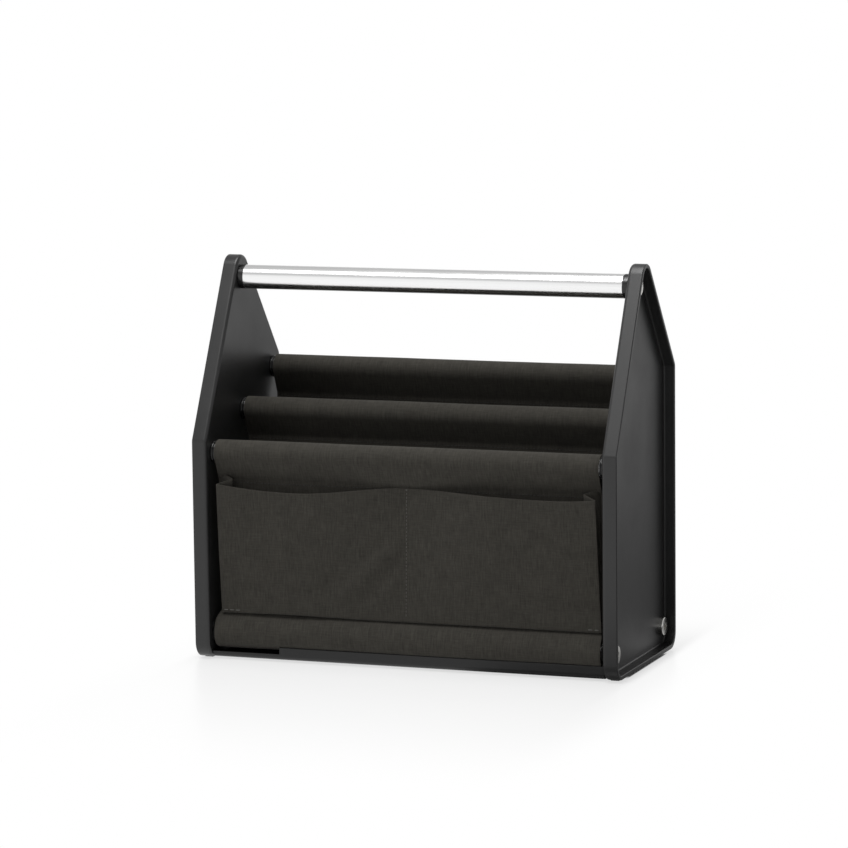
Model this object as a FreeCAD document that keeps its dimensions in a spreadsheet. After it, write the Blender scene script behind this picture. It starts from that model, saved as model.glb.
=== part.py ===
import FreeCAD, Part
import math
import os
import Sketcher
from FreeCAD import Placement, Rotation, Vector

# Tool caddy: two moulded end panels joined by a handle tube, three stepped upper rods and two
# lower tubes, with sewn cloth walls, a front pocket and a plastic base tray.
# Millimetres. +X to the right, +Y to the back, +Z up, floor at Z = 0 under the middle.

# Driving sizes: alias, value, meaning
SIZES = [
    ("overall_width", 400, "over the outer edges of the two end panels"),
    ("overall_depth", 180, "front to back of an end panel"),
    ("panel_depth", 14, "inner face of a panel to the edge of its rim"),
    ("panel_wall", 4, "moulded wall of web and rim"),
    ("front_knee_height", 200, "where the front edge turns into the front slope"),
    ("rear_knee_height", 261, "where the rear edge turns into the rear slope"),
    ("apex_height", 372, "where the two slopes would meet"),
    ("apex_offset", 0.5, "that point behind the middle"),
    ("crown_radius", 15, "round top of a panel"),
    ("knee_radius", 6, "round at the two knees"),
    ("corner_radius", 15, "round at the two bottom corners"),
    ("inner_edge_round", 3.2, "round along the inner face of a panel"),
    ("rim_chamfer", 0.8, "chamfer along the outer edges of the rim"),
    ("web_chamfer", 1.5, "inside corner between web and rim"),
    ("rod_inset", 18, "front and rear tubes from the front and rear edges of the panels"),
    ("rod_drop", 12, "front and rear upper rods below the knees"),
    ("lower_tube_height", 22.5, "axis of the two lower tubes"),
    ("rod_diameter", 20, "upper rods and lower tubes"),
    ("handle_diameter", 22, "handle tube"),
    ("handle_drop", 32, "axis of the handle below the point where the slopes would meet"),
    ("tube_wall", 1.5, "wall of every tube"),
    ("grip_ring", 3, "visible ring of a handle plug"),
    ("rod_ring", 4.2, "visible ring of the plug of a rod or lower tube"),
    ("spigot_length", 22, "plug inside its tube"),
    ("spigot_clearance", 0.1, "plug to tube bore, on the radius"),
    ("socket_depth", 2.5, "blind socket in a panel for the ring of an upper rod"),
    ("socket_clearance", 0.1, "ring to its socket"),
    ("bolt_diameter", 8, "shank of a frame bolt"),
    ("bolt_length", 24, "shank below the head"),
    ("bolt_clearance", 0.3, "shank to panel hole, on the radius"),
    ("thread_clearance", 0.1, "shank to plug bore, on the radius"),
    ("head_diameter", 17, "low round bolt head"),
    ("head_height", 5, "low round bolt head"),
    ("head_chamfer", 1, "edge of the bolt head"),
    ("hex_key", 6, "across the flats of the key socket"),
    ("hex_depth", 2.6, "depth of the key socket"),
    ("cloth_thickness", 1.2, "canvas"),
    ("cloth_gap", 4.5, "end of a canvas wall to the panel"),
    ("cloth_clearance", 0.3, "canvas to what it lies on"),
    ("upper_seam_drop", 24, "sewn line below the axis of an upper rod"),
    ("lower_seam_rise", 33, "sewn line above the axis of a lower tube"),
    ("floor_drop", 8.5, "underside of the cloth floor below the axis of the lower tubes"),
    ("pocket_bottom_rise", 19.5, "sewn lower edge of the pocket above the axis of the lower tube"),
    ("pocket_bottom_inset", 1.5, "lower corners of the pocket from the ends of the wall"),
    ("pocket_top_inset", 3, "upper corners of the pocket from the ends of the wall"),
    ("pocket_corner_drop", 27, "upper corners of the pocket below the axis of the front rod"),
    ("pocket_sag", 6.5, "lowest point of each half of the upper edge below its corners"),
    ("pocket_sag_inset", 85, "that point from the pocket's outer end"),
    ("pocket_centre_rise", 2.5, "upper edge at the centre seam above its corners"),
    ("pocket_corner_reach", 15.4, "upper corners in front of the wall"),
    ("pocket_belly", 5, "bulge of each half between corner and centre seam"),
    ("gusset_start", 24, "lower end of a side gusset above the pocket's lower edge"),
    ("tray_thickness", 3, "plate of the base tray"),
    ("tray_inset", 7, "tray lip from the front and rear edges of the panels"),
    ("lip_height", 12.5, "tray lip over the underside of the tray"),
    ("lip_thickness", 2, "tray lip"),
    ("tray_edge_round", 4, "lower edge of the tray"),
    ("tray_inner_round", 2, "inside corner of plate and lip"),
    ("tray_clearance", 0.3, "tray to the panels"),
    ("notch_inset", 3.7, "notch in the lip from the end of the lip"),
    ("notch_length", 61, "notch in the lip"),
    ("notch_depth", 8.2, "notch below the upper edge of the lip"),
    ("lug_rise", 5, "lug on the end of a lip, over the underside of the tray"),
    ("lug_height", 6, "lug, bottom to top"),
    ("lug_reach", 2.4, "lug past the end of the tray"),
    ("lug_clearance", 0.2, "lug to its slot in the panel"),
    ("foot_length", 30, "rubber foot"),
    ("foot_width", 8, "rubber foot"),
    ("foot_thickness", 2.2, "rubber foot"),
    ("foot_proud", 1, "foot below the panel"),
    ("foot_clearance", 0.1, "foot to its recess"),
]

# Derived places, as expressions on those sizes
INNER_FACE = "(dims.overall_width / 2 - dims.panel_depth)"
WEB_FACE = "(dims.overall_width / 2 - dims.panel_depth + dims.panel_wall)"
PANEL_BOTTOM = "dims.foot_proud"
ROD_OFFSET = "(dims.overall_depth / 2 - dims.rod_inset)"
FRONT_ROD = "(dims.front_knee_height - dims.rod_drop)"
REAR_ROD = "(dims.rear_knee_height - dims.rod_drop)"
MIDDLE_ROD = "((%s + %s) / 2)" % (FRONT_ROD, REAR_ROD)
LOWER_TUBE = "dims.lower_tube_height"
HANDLE = "(dims.apex_height - dims.handle_drop)"
TRAY_REACH = "(dims.overall_depth / 2 - dims.tray_inset)"
TRAY_TOP = "(%s + dims.tray_thickness)" % PANEL_BOTTOM
LIP_END = "(%s - dims.tray_clearance)" % INNER_FACE
NOTCH_MIDDLE = "(%s - dims.notch_inset - dims.notch_length / 2)" % LIP_END

# The cloth: its thickness and length, the round of a sleeve inside and outside
HALF_CLOTH = "(dims.cloth_thickness / 2)"
CLOTH_LENGTH = "(2 * %s - 2 * dims.cloth_gap)" % INNER_FACE
SLEEVE_BORE = "(dims.rod_diameter / 2 + dims.cloth_clearance)"
SLEEVE = "(%s + dims.cloth_thickness)" % SLEEVE_BORE
WALL_FRONT = "(%s + %s)" % (ROD_OFFSET, HALF_CLOTH)
FLOOR_BOTTOM = "(%s - dims.floor_drop)" % LOWER_TUBE
FLOOR_TOP = "(%s + dims.cloth_thickness)" % FLOOR_BOTTOM

# Lean of the cloth between a sleeve's round and its seam, by the seam's distance from the axis
LEAN = "(asin({0} / hypot({2}; {1})) - atan2({1}; {2}))"
UPPER_LEAN = LEAN.format(SLEEVE, HALF_CLOTH, "dims.upper_seam_drop")
LOWER_LEAN = LEAN.format(SLEEVE, HALF_CLOTH, "dims.lower_seam_rise")

# The pocket: heights, half widths, and its back face on the slanted sleeve and at its upper corners
POCKET_BOTTOM = "(%s + dims.pocket_bottom_rise)" % LOWER_TUBE
POCKET_CORNER = "(%s - dims.pocket_corner_drop)" % FRONT_ROD
POCKET_CENTRE = "(%s + dims.pocket_centre_rise)" % POCKET_CORNER
POCKET_TOP = "(%s + dims.cloth_thickness)" % POCKET_CENTRE
POCKET_LOW_HALF = "(%s / 2 - dims.pocket_bottom_inset)" % CLOTH_LENGTH
POCKET_HIGH_HALF = "(%s / 2 - dims.pocket_top_inset)" % CLOTH_LENGTH
SEAT_REACH = "(({0} + dims.cloth_clearance - {1} * sin{2}) / cos{2})"
SEAT_REACH = SEAT_REACH.format(SLEEVE, "dims.pocket_bottom_rise", LOWER_LEAN)
POCKET_SEAT = "(-%s - %s)" % (ROD_OFFSET, SEAT_REACH)
POCKET_BRIM = "(-%s - dims.pocket_corner_reach + dims.cloth_thickness)" % WALL_FRONT

doc = FreeCAD.newDocument("tool_caddy")
sheet = doc.addObject("Spreadsheet::Sheet", "dims")
for row, (alias, number, meaning) in enumerate(SIZES, start=1):
    sheet.set("A%d" % row, alias)
    sheet.set("B%d" % row, str(number))
    sheet.setAlias("B%d" % row, alias)
    sheet.set("C%d" % row, meaning)
doc.recompute()

sub_parts = []


def size(expression):
    """Value of an expression on the sheet's sizes."""
    return float(sheet.evalExpression(str(expression)))


def new_body(name):
    body = doc.addObject("PartDesign::Body", name)
    body.Label = name
    return body


def keep(part):
    """Hand a finished sub-part to the export."""
    sub_parts.append(part)
    return part


def new_sketch(body, name, role, offset="0"):
    """Sketch on one of the body's origin planes, moved along its normal."""
    sketch = body.newObject("Sketcher::SketchObject", name)
    plane = [item for item in body.Origin.OriginFeatures if item.Role == role][0]
    sketch.AttachmentSupport = (plane, "")
    sketch.MapMode = "FlatFace"
    sketch.setExpression(".AttachmentOffset.Base.z", offset)
    return sketch


def set_size(sketch, constraint, name, expression):
    """Add a dimension and tie it to the sheet."""
    index = sketch.addConstraint(constraint)
    sketch.renameConstraint(index, name)
    sketch.setExpression("Constraints." + name, expression)


def pin(sketch, geometry, end, name, point):
    """Dimension one end of a curve from the sketch's origin."""
    x, y = point
    set_size(sketch, Sketcher.Constraint("DistanceX", -1, 1, geometry, end, size(x)), name + "_x", x)
    set_size(sketch, Sketcher.Constraint("DistanceY", -1, 1, geometry, end, size(y)), name + "_y", y)


def vector(point):
    return Vector(size(point[0]), size(point[1]), 0)


def draw_polygon(sketch, points, name="corner"):
    """Closed run of straight lines through dimensioned corners."""
    first = sketch.GeometryCount
    count = len(points)
    for index, point in enumerate(points):
        sketch.addGeometry(Part.LineSegment(vector(point), vector(points[(index + 1) % count])), False)
    for index in range(count):
        following = first + (index + 1) % count
        sketch.addConstraint(Sketcher.Constraint("Coincident", first + index, 2, following, 1))
    for index, point in enumerate(points):
        pin(sketch, first + index, 1, "%s_%d" % (name, index), point)


def draw_circle(sketch, name, centre, diameter):
    index = sketch.addGeometry(Part.Circle(vector(centre), Vector(0, 0, 1), size(diameter) / 2), False)
    pin(sketch, index, 3, name, centre)
    set_size(sketch, Sketcher.Constraint("Diameter", index, size(diameter)), name + "_wide", diameter)


def draw_bent_line(sketch, name, start, middle, end):
    """Arc from start to end through a point between them."""
    curve = Part.Arc(vector(start), vector(middle), vector(end))
    index = sketch.addGeometry(curve, False)
    through = sketch.addGeometry(Part.Point(vector(middle)), True)
    pin(sketch, through, 1, name + "_through", middle)
    sketch.addConstraint(Sketcher.Constraint("PointOnObject", through, 1, index))
    return index


def pad(body, name, sketch, length, both_ways=False, reverse=False):
    feature = body.newObject("PartDesign::Pad", name)
    feature.Profile = sketch
    feature.setExpression("Length", length)
    feature.Midplane = both_ways
    feature.Reversed = reverse
    doc.recompute()
    return feature


def cut(body, name, sketch, depth, reverse=False):
    """Pocket to a depth; it has to take material away."""
    before = body.Shape.Volume
    feature = body.newObject("PartDesign::Pocket", name)
    feature.Profile = sketch
    feature.setExpression("Length", depth)
    feature.Reversed = reverse
    doc.recompute()
    if body.Shape.Volume > before - 1e-6:
        raise RuntimeError("%s cuts nothing" % name)
    return feature


def dress_edges(body, name, kind, measure, value, chosen):
    """Fillet or chamfer the tip's edges that the given test picks."""
    base = body.Tip
    names = ["Edge%d" % number for number, edge in enumerate(base.Shape.Edges, start=1) if chosen(edge)]
    if not names:
        raise RuntimeError("%s finds no edge" % name)
    feature = body.newObject("PartDesign::" + kind, name)
    feature.Base = (base, names)
    feature.setExpression(measure, value)
    doc.recompute()
    return feature


def round_edges(body, name, radius, chosen):
    return dress_edges(body, name, "Fillet", "Radius", radius, chosen)


def chamfer_edges(body, name, width, chosen):
    return dress_edges(body, name, "Chamfer", "Size", width, chosen)


def corner_at(point):
    """Test for the edge along X through a corner of the outline."""
    corner = vector(point)

    def test(edge):
        centre = edge.BoundBox.Center
        near = abs(centre.y - corner.x) + abs(centre.z - corner.y) < 0.01
        return near and edge.BoundBox.XLength > 0.1

    return test


def flat_at(x):
    """Test for edges that lie flat at X."""

    def test(edge):
        return abs(edge.BoundBox.XMin - x) < 0.01 and abs(edge.BoundBox.XMax - x) < 0.01

    return test


def panel_corners():
    """Sharp outline of an end panel, as (Y, Z), from the front bottom corner round to the rear."""
    return [
        ("-dims.overall_depth / 2", PANEL_BOTTOM),
        ("-dims.overall_depth / 2", "dims.front_knee_height"),
        ("dims.apex_offset", "dims.apex_height"),
        ("dims.overall_depth / 2", "dims.rear_knee_height"),
        ("dims.overall_depth / 2", PANEL_BOTTOM),
    ]


# Tubes: name, name of its plugs, Y and Z of its axis, diameter, ring of its plugs, bolted or only plugged
FRONT = "-" + ROD_OFFSET
REAR = ROD_OFFSET
GRIP = ("dims.handle_diameter", "dims.grip_ring")
ROD = ("dims.rod_diameter", "dims.rod_ring")
TUBES = [
    ("handle_tube", "handle_plugs", "0", HANDLE, *GRIP, True),
    ("front_top_rod", "front_rod_plugs", FRONT, FRONT_ROD, *ROD, False),
    ("middle_top_rod", "middle_rod_plugs", "0", MIDDLE_ROD, *ROD, False),
    ("rear_top_rod", "rear_rod_plugs", REAR, REAR_ROD, *ROD, False),
    ("front_lower_tube", "front_tube_plugs", FRONT, LOWER_TUBE, *ROD, True),
    ("rear_lower_tube", "rear_tube_plugs", REAR, LOWER_TUBE, *ROD, True),
]
SIDES = [("left", -1), ("right", 1)]


def end_panel(name, side):
    """Moulded tray whose rim points outwards: a house outline with a round crown."""
    body = new_body(name)
    plane = "%d * %s" % (side, INNER_FACE)
    outline = new_sketch(body, name + "_outline", "YZ_Plane", plane)
    draw_polygon(outline, panel_corners())
    pad(body, name + "_block", outline, "dims.panel_depth", reverse=side < 0)
    rounds = ["corner_radius", "knee_radius", "crown_radius", "knee_radius", "corner_radius"]
    for index, (point, radius) in enumerate(zip(panel_corners(), rounds)):
        round_edges(body, "%s_round_%d" % (name, index), "dims." + radius, corner_at(point))

    outer_x = side * size("dims.overall_width / 2")
    solid = body.Tip
    faces = enumerate(solid.Shape.Faces, start=1)
    outer = ["Face%d" % number for number, face in faces if abs(face.CenterOfMass.x - outer_x) < 0.01]
    shell = body.newObject("PartDesign::Thickness", name + "_shell")
    shell.Base = (solid, outer)
    shell.setExpression("Value", "dims.panel_wall")
    shell.Reversed = True
    doc.recompute()

    inner_x = side * size(INNER_FACE)
    web_x = side * size(WEB_FACE)
    chamfer_edges(body, name + "_web_chamfer", "dims.web_chamfer", flat_at(web_x))
    round_edges(body, name + "_inner_round", "dims.inner_edge_round", flat_at(inner_x))
    chamfer_edges(body, name + "_rim_chamfer", "dims.rim_chamfer", flat_at(outer_x))

    bolt_holes = new_sketch(body, name + "_bolt_holes", "YZ_Plane", plane)
    sockets = new_sketch(body, name + "_rod_sockets", "YZ_Plane", plane)
    for tube, plug, y, z, diameter, ring, bolted in TUBES:
        if bolted:
            draw_circle(bolt_holes, tube + "_hole", (y, z), "dims.bolt_diameter + 2 * dims.bolt_clearance")
        else:
            draw_circle(sockets, tube + "_socket", (y, z), diameter + " + 2 * dims.socket_clearance")
    cut(body, name + "_bolt_cut", bolt_holes, "dims.panel_wall", reverse=side > 0)
    cut(body, name + "_socket_cut", sockets, "dims.socket_depth", reverse=side > 0)

    slots = new_sketch(body, name + "_lug_slots", "YZ_Plane", plane)
    for label, sign in (("front", -1), ("rear", 1)):
        draw_polygon(slots, lug_outline(sign, "dims.lug_clearance"), label)
    slot_depth = "dims.lug_reach - dims.tray_clearance + dims.lug_clearance"
    cut(body, name + "_slot_cut", slots, slot_depth, reverse=side > 0)

    recesses = new_sketch(body, name + "_foot_recesses", "XY_Plane", PANEL_BOTTOM)
    for end, y in (("front", foot_place(-1)), ("rear", foot_place(1))):
        draw_polygon(recesses, foot_outline(side, y, "dims.foot_clearance"), end)
    cut(body, name + "_foot_cut", recesses, "dims.foot_thickness - dims.foot_proud", reverse=True)
    return keep(body)


def rectangle(middle, half, low, high):
    return [
        ("%s - %s" % (middle, half), low),
        ("%s + %s" % (middle, half), low),
        ("%s + %s" % (middle, half), high),
        ("%s - %s" % (middle, half), high),
    ]


def lug_outline(end, spare):
    """Section of a lug, in line with the tray lip at the front or the rear."""
    middle = "%d * (%s - dims.lip_thickness / 2)" % (end, TRAY_REACH)
    half = "(dims.lip_thickness / 2 + %s)" % spare
    low = "%s + dims.lug_rise - %s" % (PANEL_BOTTOM, spare)
    high = "%s + dims.lug_rise + dims.lug_height + %s" % (PANEL_BOTTOM, spare)
    return rectangle(middle, half, low, high)


def foot_place(end):
    return "%d * (dims.overall_depth / 2 - dims.corner_radius - dims.foot_length / 2)" % end


def foot_outline(side, y, spare):
    """Plan of a foot under the middle of a panel's thickness."""
    middle = "%d * (dims.overall_width / 2 - dims.panel_depth / 2)" % side
    half = "(dims.foot_width / 2 + %s)" % spare
    low = "%s - dims.foot_length / 2 - %s" % (y, spare)
    high = "%s + dims.foot_length / 2 + %s" % (y, spare)
    return rectangle(middle, half, low, high)


def foot(name, side, end):
    """Thin rubber pad let into the bottom of a panel."""
    body = new_body(name)
    plan = new_sketch(body, name + "_plan", "XY_Plane")
    draw_polygon(plan, foot_outline(side, foot_place(end), "0"))
    pad(body, name + "_pad", plan, "dims.foot_thickness")
    return keep(body)


def put_on_axis(body, x, y, z, turn=0):
    """Place a body made about the X axis on the axis of a tube."""
    body.Placement = Placement(Vector(0, 0, 0), Rotation(Vector(0, 0, 1), turn))
    body.setExpression(".Placement.Base.x", x)
    body.setExpression(".Placement.Base.y", y)
    body.setExpression(".Placement.Base.z", z)
    doc.recompute()


def tube(name, y, z, diameter, ring):
    """Drawn aluminium tube between the rings of its two end plugs."""
    body = new_body(name)
    section = new_sketch(body, name + "_section", "YZ_Plane")
    draw_circle(section, "outside", ("0", "0"), diameter)
    draw_circle(section, "bore", ("0", "0"), "%s - 2 * dims.tube_wall" % diameter)
    pad(body, name + "_length", section, "(2 * %s - 2 * %s)" % (INNER_FACE, ring), both_ways=True)
    put_on_axis(body, "0", y, z)
    return keep(body)


def revolve(body, name, points):
    """Turn a half profile, given as (X, radius), about the X axis."""
    profile = new_sketch(body, name + "_profile", "XY_Plane")
    draw_polygon(profile, points)
    feature = body.newObject("PartDesign::Revolution", name + "_turned")
    feature.Profile = profile
    feature.ReferenceAxis = (profile, ["H_Axis"])
    feature.Angle = 360
    doc.recompute()
    return feature


def plug(name, side, y, z, diameter, ring, bolted):
    """End plug: a ring the size of its tube, and a spigot that fills the bore.

    The ring of a bolted plug meets the panel and is bored for the bolt; a plain one enters its socket.
    """
    body = new_body(name)
    outside = "%s / 2" % diameter
    spigot = "%s / 2 - dims.tube_wall - dims.spigot_clearance" % diameter
    shoulder = "-" + ring
    tip = "-%s - dims.spigot_length" % ring
    face = "0" if bolted else "dims.socket_depth - dims.socket_clearance"
    bore = "dims.bolt_diameter / 2 + dims.thread_clearance" if bolted else "0"
    points = [(face, bore), (face, outside), (shoulder, outside), (shoulder, spigot), (tip, spigot), (tip, bore)]
    revolve(body, name, points)
    put_on_axis(body, "%d * %s" % (side, INNER_FACE), y, z, 0 if side > 0 else 180)
    return body


def group(name, bodies):
    """Like pieces that share one node."""
    compound = doc.addObject("Part::Compound", name)
    compound.Label = name
    compound.Links = bodies
    doc.recompute()
    return keep(compound)


def bolt(name, side, y, z):
    """Low-head frame bolt with a hexagon socket, seated on the web inside the rim."""
    body = new_body(name)
    shank = "dims.bolt_diameter / 2"
    head = "dims.head_diameter / 2"
    points = [
        ("-dims.bolt_length", "0"),
        ("-dims.bolt_length", shank),
        ("0", shank),
        ("0", head),
        ("dims.head_height - dims.head_chamfer", head),
        ("dims.head_height", "%s - dims.head_chamfer" % head),
        ("dims.head_height", "0"),
    ]
    revolve(body, name, points)
    key = new_sketch(body, name + "_key", "YZ_Plane", "dims.head_height")
    reach = "dims.hex_key / 2 / cos(30)"
    angles = [60 * step for step in range(6)]
    draw_polygon(key, [("%s * cos(%d)" % (reach, turn), "%s * sin(%d)" % (reach, turn)) for turn in angles])
    cut(body, name + "_socket", key, "dims.hex_depth")
    put_on_axis(body, "%d * %s" % (side, WEB_FACE), y, z, 0 if side > 0 else 180)
    return body


def frame_bolts(name):
    """The handle and the two lower tubes are each held by one bolt at either end."""
    bolts = []
    for tube_name, plugs, y, z, diameter, ring, bolted in TUBES:
        if bolted:
            bolts += [bolt("%s_bolt_%s" % (tube_name, label), side, y, z) for label, side in SIDES]
    return group(name, bolts)


def draw_sleeve(sketch, name, centre, upward, bore):
    """Drop-shaped loop of cloth about a tube, closed at its seam or run on into the wall.

    With bore it is the closed inner outline, else the outer arc and the two lines to the seam.
    Returns the indices of the line on the near side, the arc and the line on the far side.
    """
    y, z = centre
    sign = 1 if upward else -1
    seam = "dims.lower_seam_rise" if upward else "-dims.upper_seam_drop"
    lean = math.radians(size(LOWER_LEAN if upward else UPPER_LEAN))
    wanted = SLEEVE_BORE if bore else SLEEVE
    radius = size(wanted)
    half_wall = size(HALF_CLOTH)
    middle = vector(centre)
    touch_y = radius * math.cos(lean)
    touch_z = sign * radius * math.sin(lean)
    near_touch = middle + Vector(-touch_y, touch_z, 0)
    far_touch = middle + Vector(touch_y, touch_z, 0)
    if bore:
        near_seam = middle + Vector(0, sign * radius / math.sin(lean), 0)
        far_seam = near_seam
    else:
        near_seam = middle + Vector(-half_wall, size(seam), 0)
        far_seam = middle + Vector(half_wall, size(seam), 0)
    away = middle + Vector(0, -sign * radius, 0)
    near = sketch.addGeometry(Part.LineSegment(near_seam, near_touch), False)
    curve = Part.Arc(near_touch, away, far_touch)
    arc = sketch.addGeometry(curve, False)
    far = sketch.addGeometry(Part.LineSegment(far_touch, far_seam), False)
    arc_ends = (2, 1) if not upward else (1, 2)
    sketch.addConstraint(Sketcher.Constraint("Tangent", near, 2, arc, arc_ends[0]))
    sketch.addConstraint(Sketcher.Constraint("Tangent", far, 1, arc, arc_ends[1]))
    pin(sketch, arc, 3, name + "_centre", centre)
    set_size(sketch, Sketcher.Constraint("Radius", arc, radius), name + "_radius", wanted)
    if bore:
        sketch.addConstraint(Sketcher.Constraint("Coincident", near, 1, far, 2))
    else:
        level = "%s + (%s)" % (z, seam)
        pin(sketch, near, 1, name + "_near", ("%s - %s" % (y, HALF_CLOTH), level))
        pin(sketch, far, 2, name + "_far", ("%s + %s" % (y, HALF_CLOTH), level))
    return near, arc, far


def close_bore(sketch, outer, inner):
    """Keep the cloth one thickness thick: inner lines run along the outer ones."""
    sketch.addConstraint(Sketcher.Constraint("Parallel", outer[0], inner[0]))
    sketch.addConstraint(Sketcher.Constraint("Parallel", outer[2], inner[2]))


def hanging_wall(name, y, rod_height, lower_height):
    """Canvas wall: a sleeve about the rod above, the flat cloth and a sleeve about the tube below."""
    body = new_body(name)
    section = new_sketch(body, name + "_section", "YZ_Plane")
    top = draw_sleeve(section, "top", (y, rod_height), False, False)
    low = draw_sleeve(section, "low", (y, lower_height), True, False)
    for top_line, top_end, low_line, low_end in ((top[0], 1, low[0], 1), (top[2], 2, low[2], 2)):
        start = section.getPoint(top_line, top_end)
        end = section.getPoint(low_line, low_end)
        wall = section.addGeometry(Part.LineSegment(start, end), False)
        section.addConstraint(Sketcher.Constraint("Coincident", wall, 1, top_line, top_end))
        section.addConstraint(Sketcher.Constraint("Coincident", wall, 2, low_line, low_end))
    close_bore(section, top, draw_sleeve(section, "top_bore", (y, rod_height), False, True))
    close_bore(section, low, draw_sleeve(section, "low_bore", (y, lower_height), True, True))
    pad(body, name + "_cloth", section, CLOTH_LENGTH, both_ways=True)
    return keep(body)


def divider(name, rod_height):
    """Canvas divider: hangs from the middle rod and is sewn to the floor."""
    body = new_body(name)
    section = new_sketch(body, name + "_section", "YZ_Plane")
    top = draw_sleeve(section, "top", ("0", rod_height), False, False)
    hem = "%s + dims.cloth_clearance" % FLOOR_TOP
    corners = [("-" + HALF_CLOTH, hem), (HALF_CLOTH, hem)]
    near_top = section.getPoint(top[0], 1)
    far_top = section.getPoint(top[2], 2)
    near = section.addGeometry(Part.LineSegment(near_top, vector(corners[0])), False)
    edge = section.addGeometry(Part.LineSegment(vector(corners[0]), vector(corners[1])), False)
    far = section.addGeometry(Part.LineSegment(vector(corners[1]), far_top), False)
    joins = [(near, 1, top[0], 1), (near, 2, edge, 1), (edge, 2, far, 1), (far, 2, top[2], 2)]
    for first, first_end, second, second_end in joins:
        section.addConstraint(Sketcher.Constraint("Coincident", first, first_end, second, second_end))
    pin(section, edge, 1, "hem_near", corners[0])
    pin(section, edge, 2, "hem_far", corners[1])
    close_bore(section, top, draw_sleeve(section, "top_bore", ("0", rod_height), False, True))
    pad(body, name + "_cloth", section, CLOTH_LENGTH, both_ways=True)
    return keep(body)


def floor_cloth(name):
    """Canvas floor sewn between the two lower sleeves."""
    body = new_body(name)
    section = new_sketch(body, name + "_section", "YZ_Plane")
    drop = "(%s - %s)" % (LOWER_TUBE, FLOOR_TOP)
    reach = "sqrt((%s + dims.cloth_clearance) ^ 2 - %s ^ 2)" % (SLEEVE, drop)
    half = "(%s - %s)" % (ROD_OFFSET, reach)
    draw_polygon(section, rectangle("0", half, FLOOR_BOTTOM, FLOOR_TOP))
    pad(body, name + "_cloth", section, CLOTH_LENGTH, both_ways=True)
    return keep(body)


def loft(body, name, first, second):
    feature = body.newObject("PartDesign::AdditiveLoft", name)
    feature.Profile = first
    feature.Sections = [second]
    feature.Ruled = True
    doc.recompute()
    return feature


def pocket_plan(body, name, height, half_width, corner, middle, belly):
    """Plan of the pocket cloth at one height: two halves that meet at the centre seam.

    corner and middle are the Y of the front face at the outer ends and at the seam, and belly
    is the Y of the front face half way along each half.
    """
    sketch = new_sketch(body, name, "XY_Plane", height)
    thick = "dims.cloth_thickness"
    half_way = "%s / 2" % half_width
    front = [("-" + half_width, corner), ("0", middle), (half_width, corner)]
    back = [(x, "%s + %s" % (y, thick)) for x, y in reversed(front)]
    bends = [
        ("-" + half_way, belly),
        (half_way, belly),
        None,
        (half_way, "%s + %s" % (belly, thick)),
        ("-" + half_way, "%s + %s" % (belly, thick)),
        None,
    ]
    corners = front + back
    lines = []
    for index, bend in enumerate(bends):
        start = corners[index]
        end = corners[(index + 1) % len(corners)]
        if bend is None:
            lines.append(sketch.addGeometry(Part.LineSegment(vector(start), vector(end)), False))
        else:
            lines.append(draw_bent_line(sketch, "bend_%d" % index, start, bend, end))
    join_outline(sketch, lines, corners)
    return sketch


def join_outline(sketch, lines, corners):
    """Close a run of lines and arcs, each of which starts at the corner of its number."""
    ends = [curve_ends(sketch, line, corners[index]) for index, line in enumerate(lines)]
    for index, line in enumerate(lines):
        start, end = ends[index]
        after = (index + 1) % len(lines)
        sketch.addConstraint(Sketcher.Constraint("Coincident", line, end, lines[after], ends[after][0]))
        pin(sketch, line, start, "corner_%d" % index, corners[index])


def curve_ends(sketch, line, start):
    """Start and end of a curve, in the order in which the outline is drawn."""
    near = (sketch.getPoint(line, 1) - vector(start)).Length < 1e-4
    return (1, 2) if near else (2, 1)


def pocket_panel(name):
    """Front pocket: leans out from its lower seam, is sewn down along its middle and sags between."""
    body = new_body(name)
    seat = "%s - dims.cloth_thickness" % POCKET_SEAT
    slack = "%s - dims.cloth_clearance" % seat
    low = pocket_plan(body, name + "_low", POCKET_BOTTOM, POCKET_LOW_HALF, seat, seat, slack)
    corner = "%s - dims.cloth_thickness" % POCKET_BRIM
    middle = "-%s - dims.cloth_clearance - dims.cloth_thickness" % WALL_FRONT
    belly = "-%s - dims.pocket_corner_reach / 2 - dims.pocket_belly" % WALL_FRONT
    high = pocket_plan(body, name + "_high", POCKET_TOP, POCKET_HIGH_HALF, corner, middle, belly)
    loft(body, name + "_cloth", low, high)

    above = new_sketch(body, name + "_upper_edge", "XZ_Plane")
    roof = "%s + %s" % (POCKET_CENTRE, POCKET_CORNER)
    dip = "%s - dims.pocket_sag" % POCKET_CORNER
    dip_place = "(%s - dims.pocket_sag_inset)" % POCKET_LOW_HALF
    left = ("-" + POCKET_LOW_HALF, POCKET_CORNER)
    centre = ("0", POCKET_CENTRE)
    right = (POCKET_LOW_HALF, POCKET_CORNER)
    left_dip = ("-" + dip_place, dip)
    right_dip = (dip_place, dip)
    corners = [left, centre, right, (POCKET_LOW_HALF, roof), ("-" + POCKET_LOW_HALF, roof)]
    lines = [
        draw_bent_line(above, "left", left, left_dip, centre),
        draw_bent_line(above, "right", centre, right_dip, right),
    ]
    for start, end in ((2, 3), (3, 4), (4, 0)):
        side = Part.LineSegment(vector(corners[start]), vector(corners[end]))
        lines.append(above.addGeometry(side, False))
    join_outline(above, lines, corners)
    cut(body, name + "_edge_cut", above, "dims.overall_depth", reverse=True)
    return keep(body)


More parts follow.
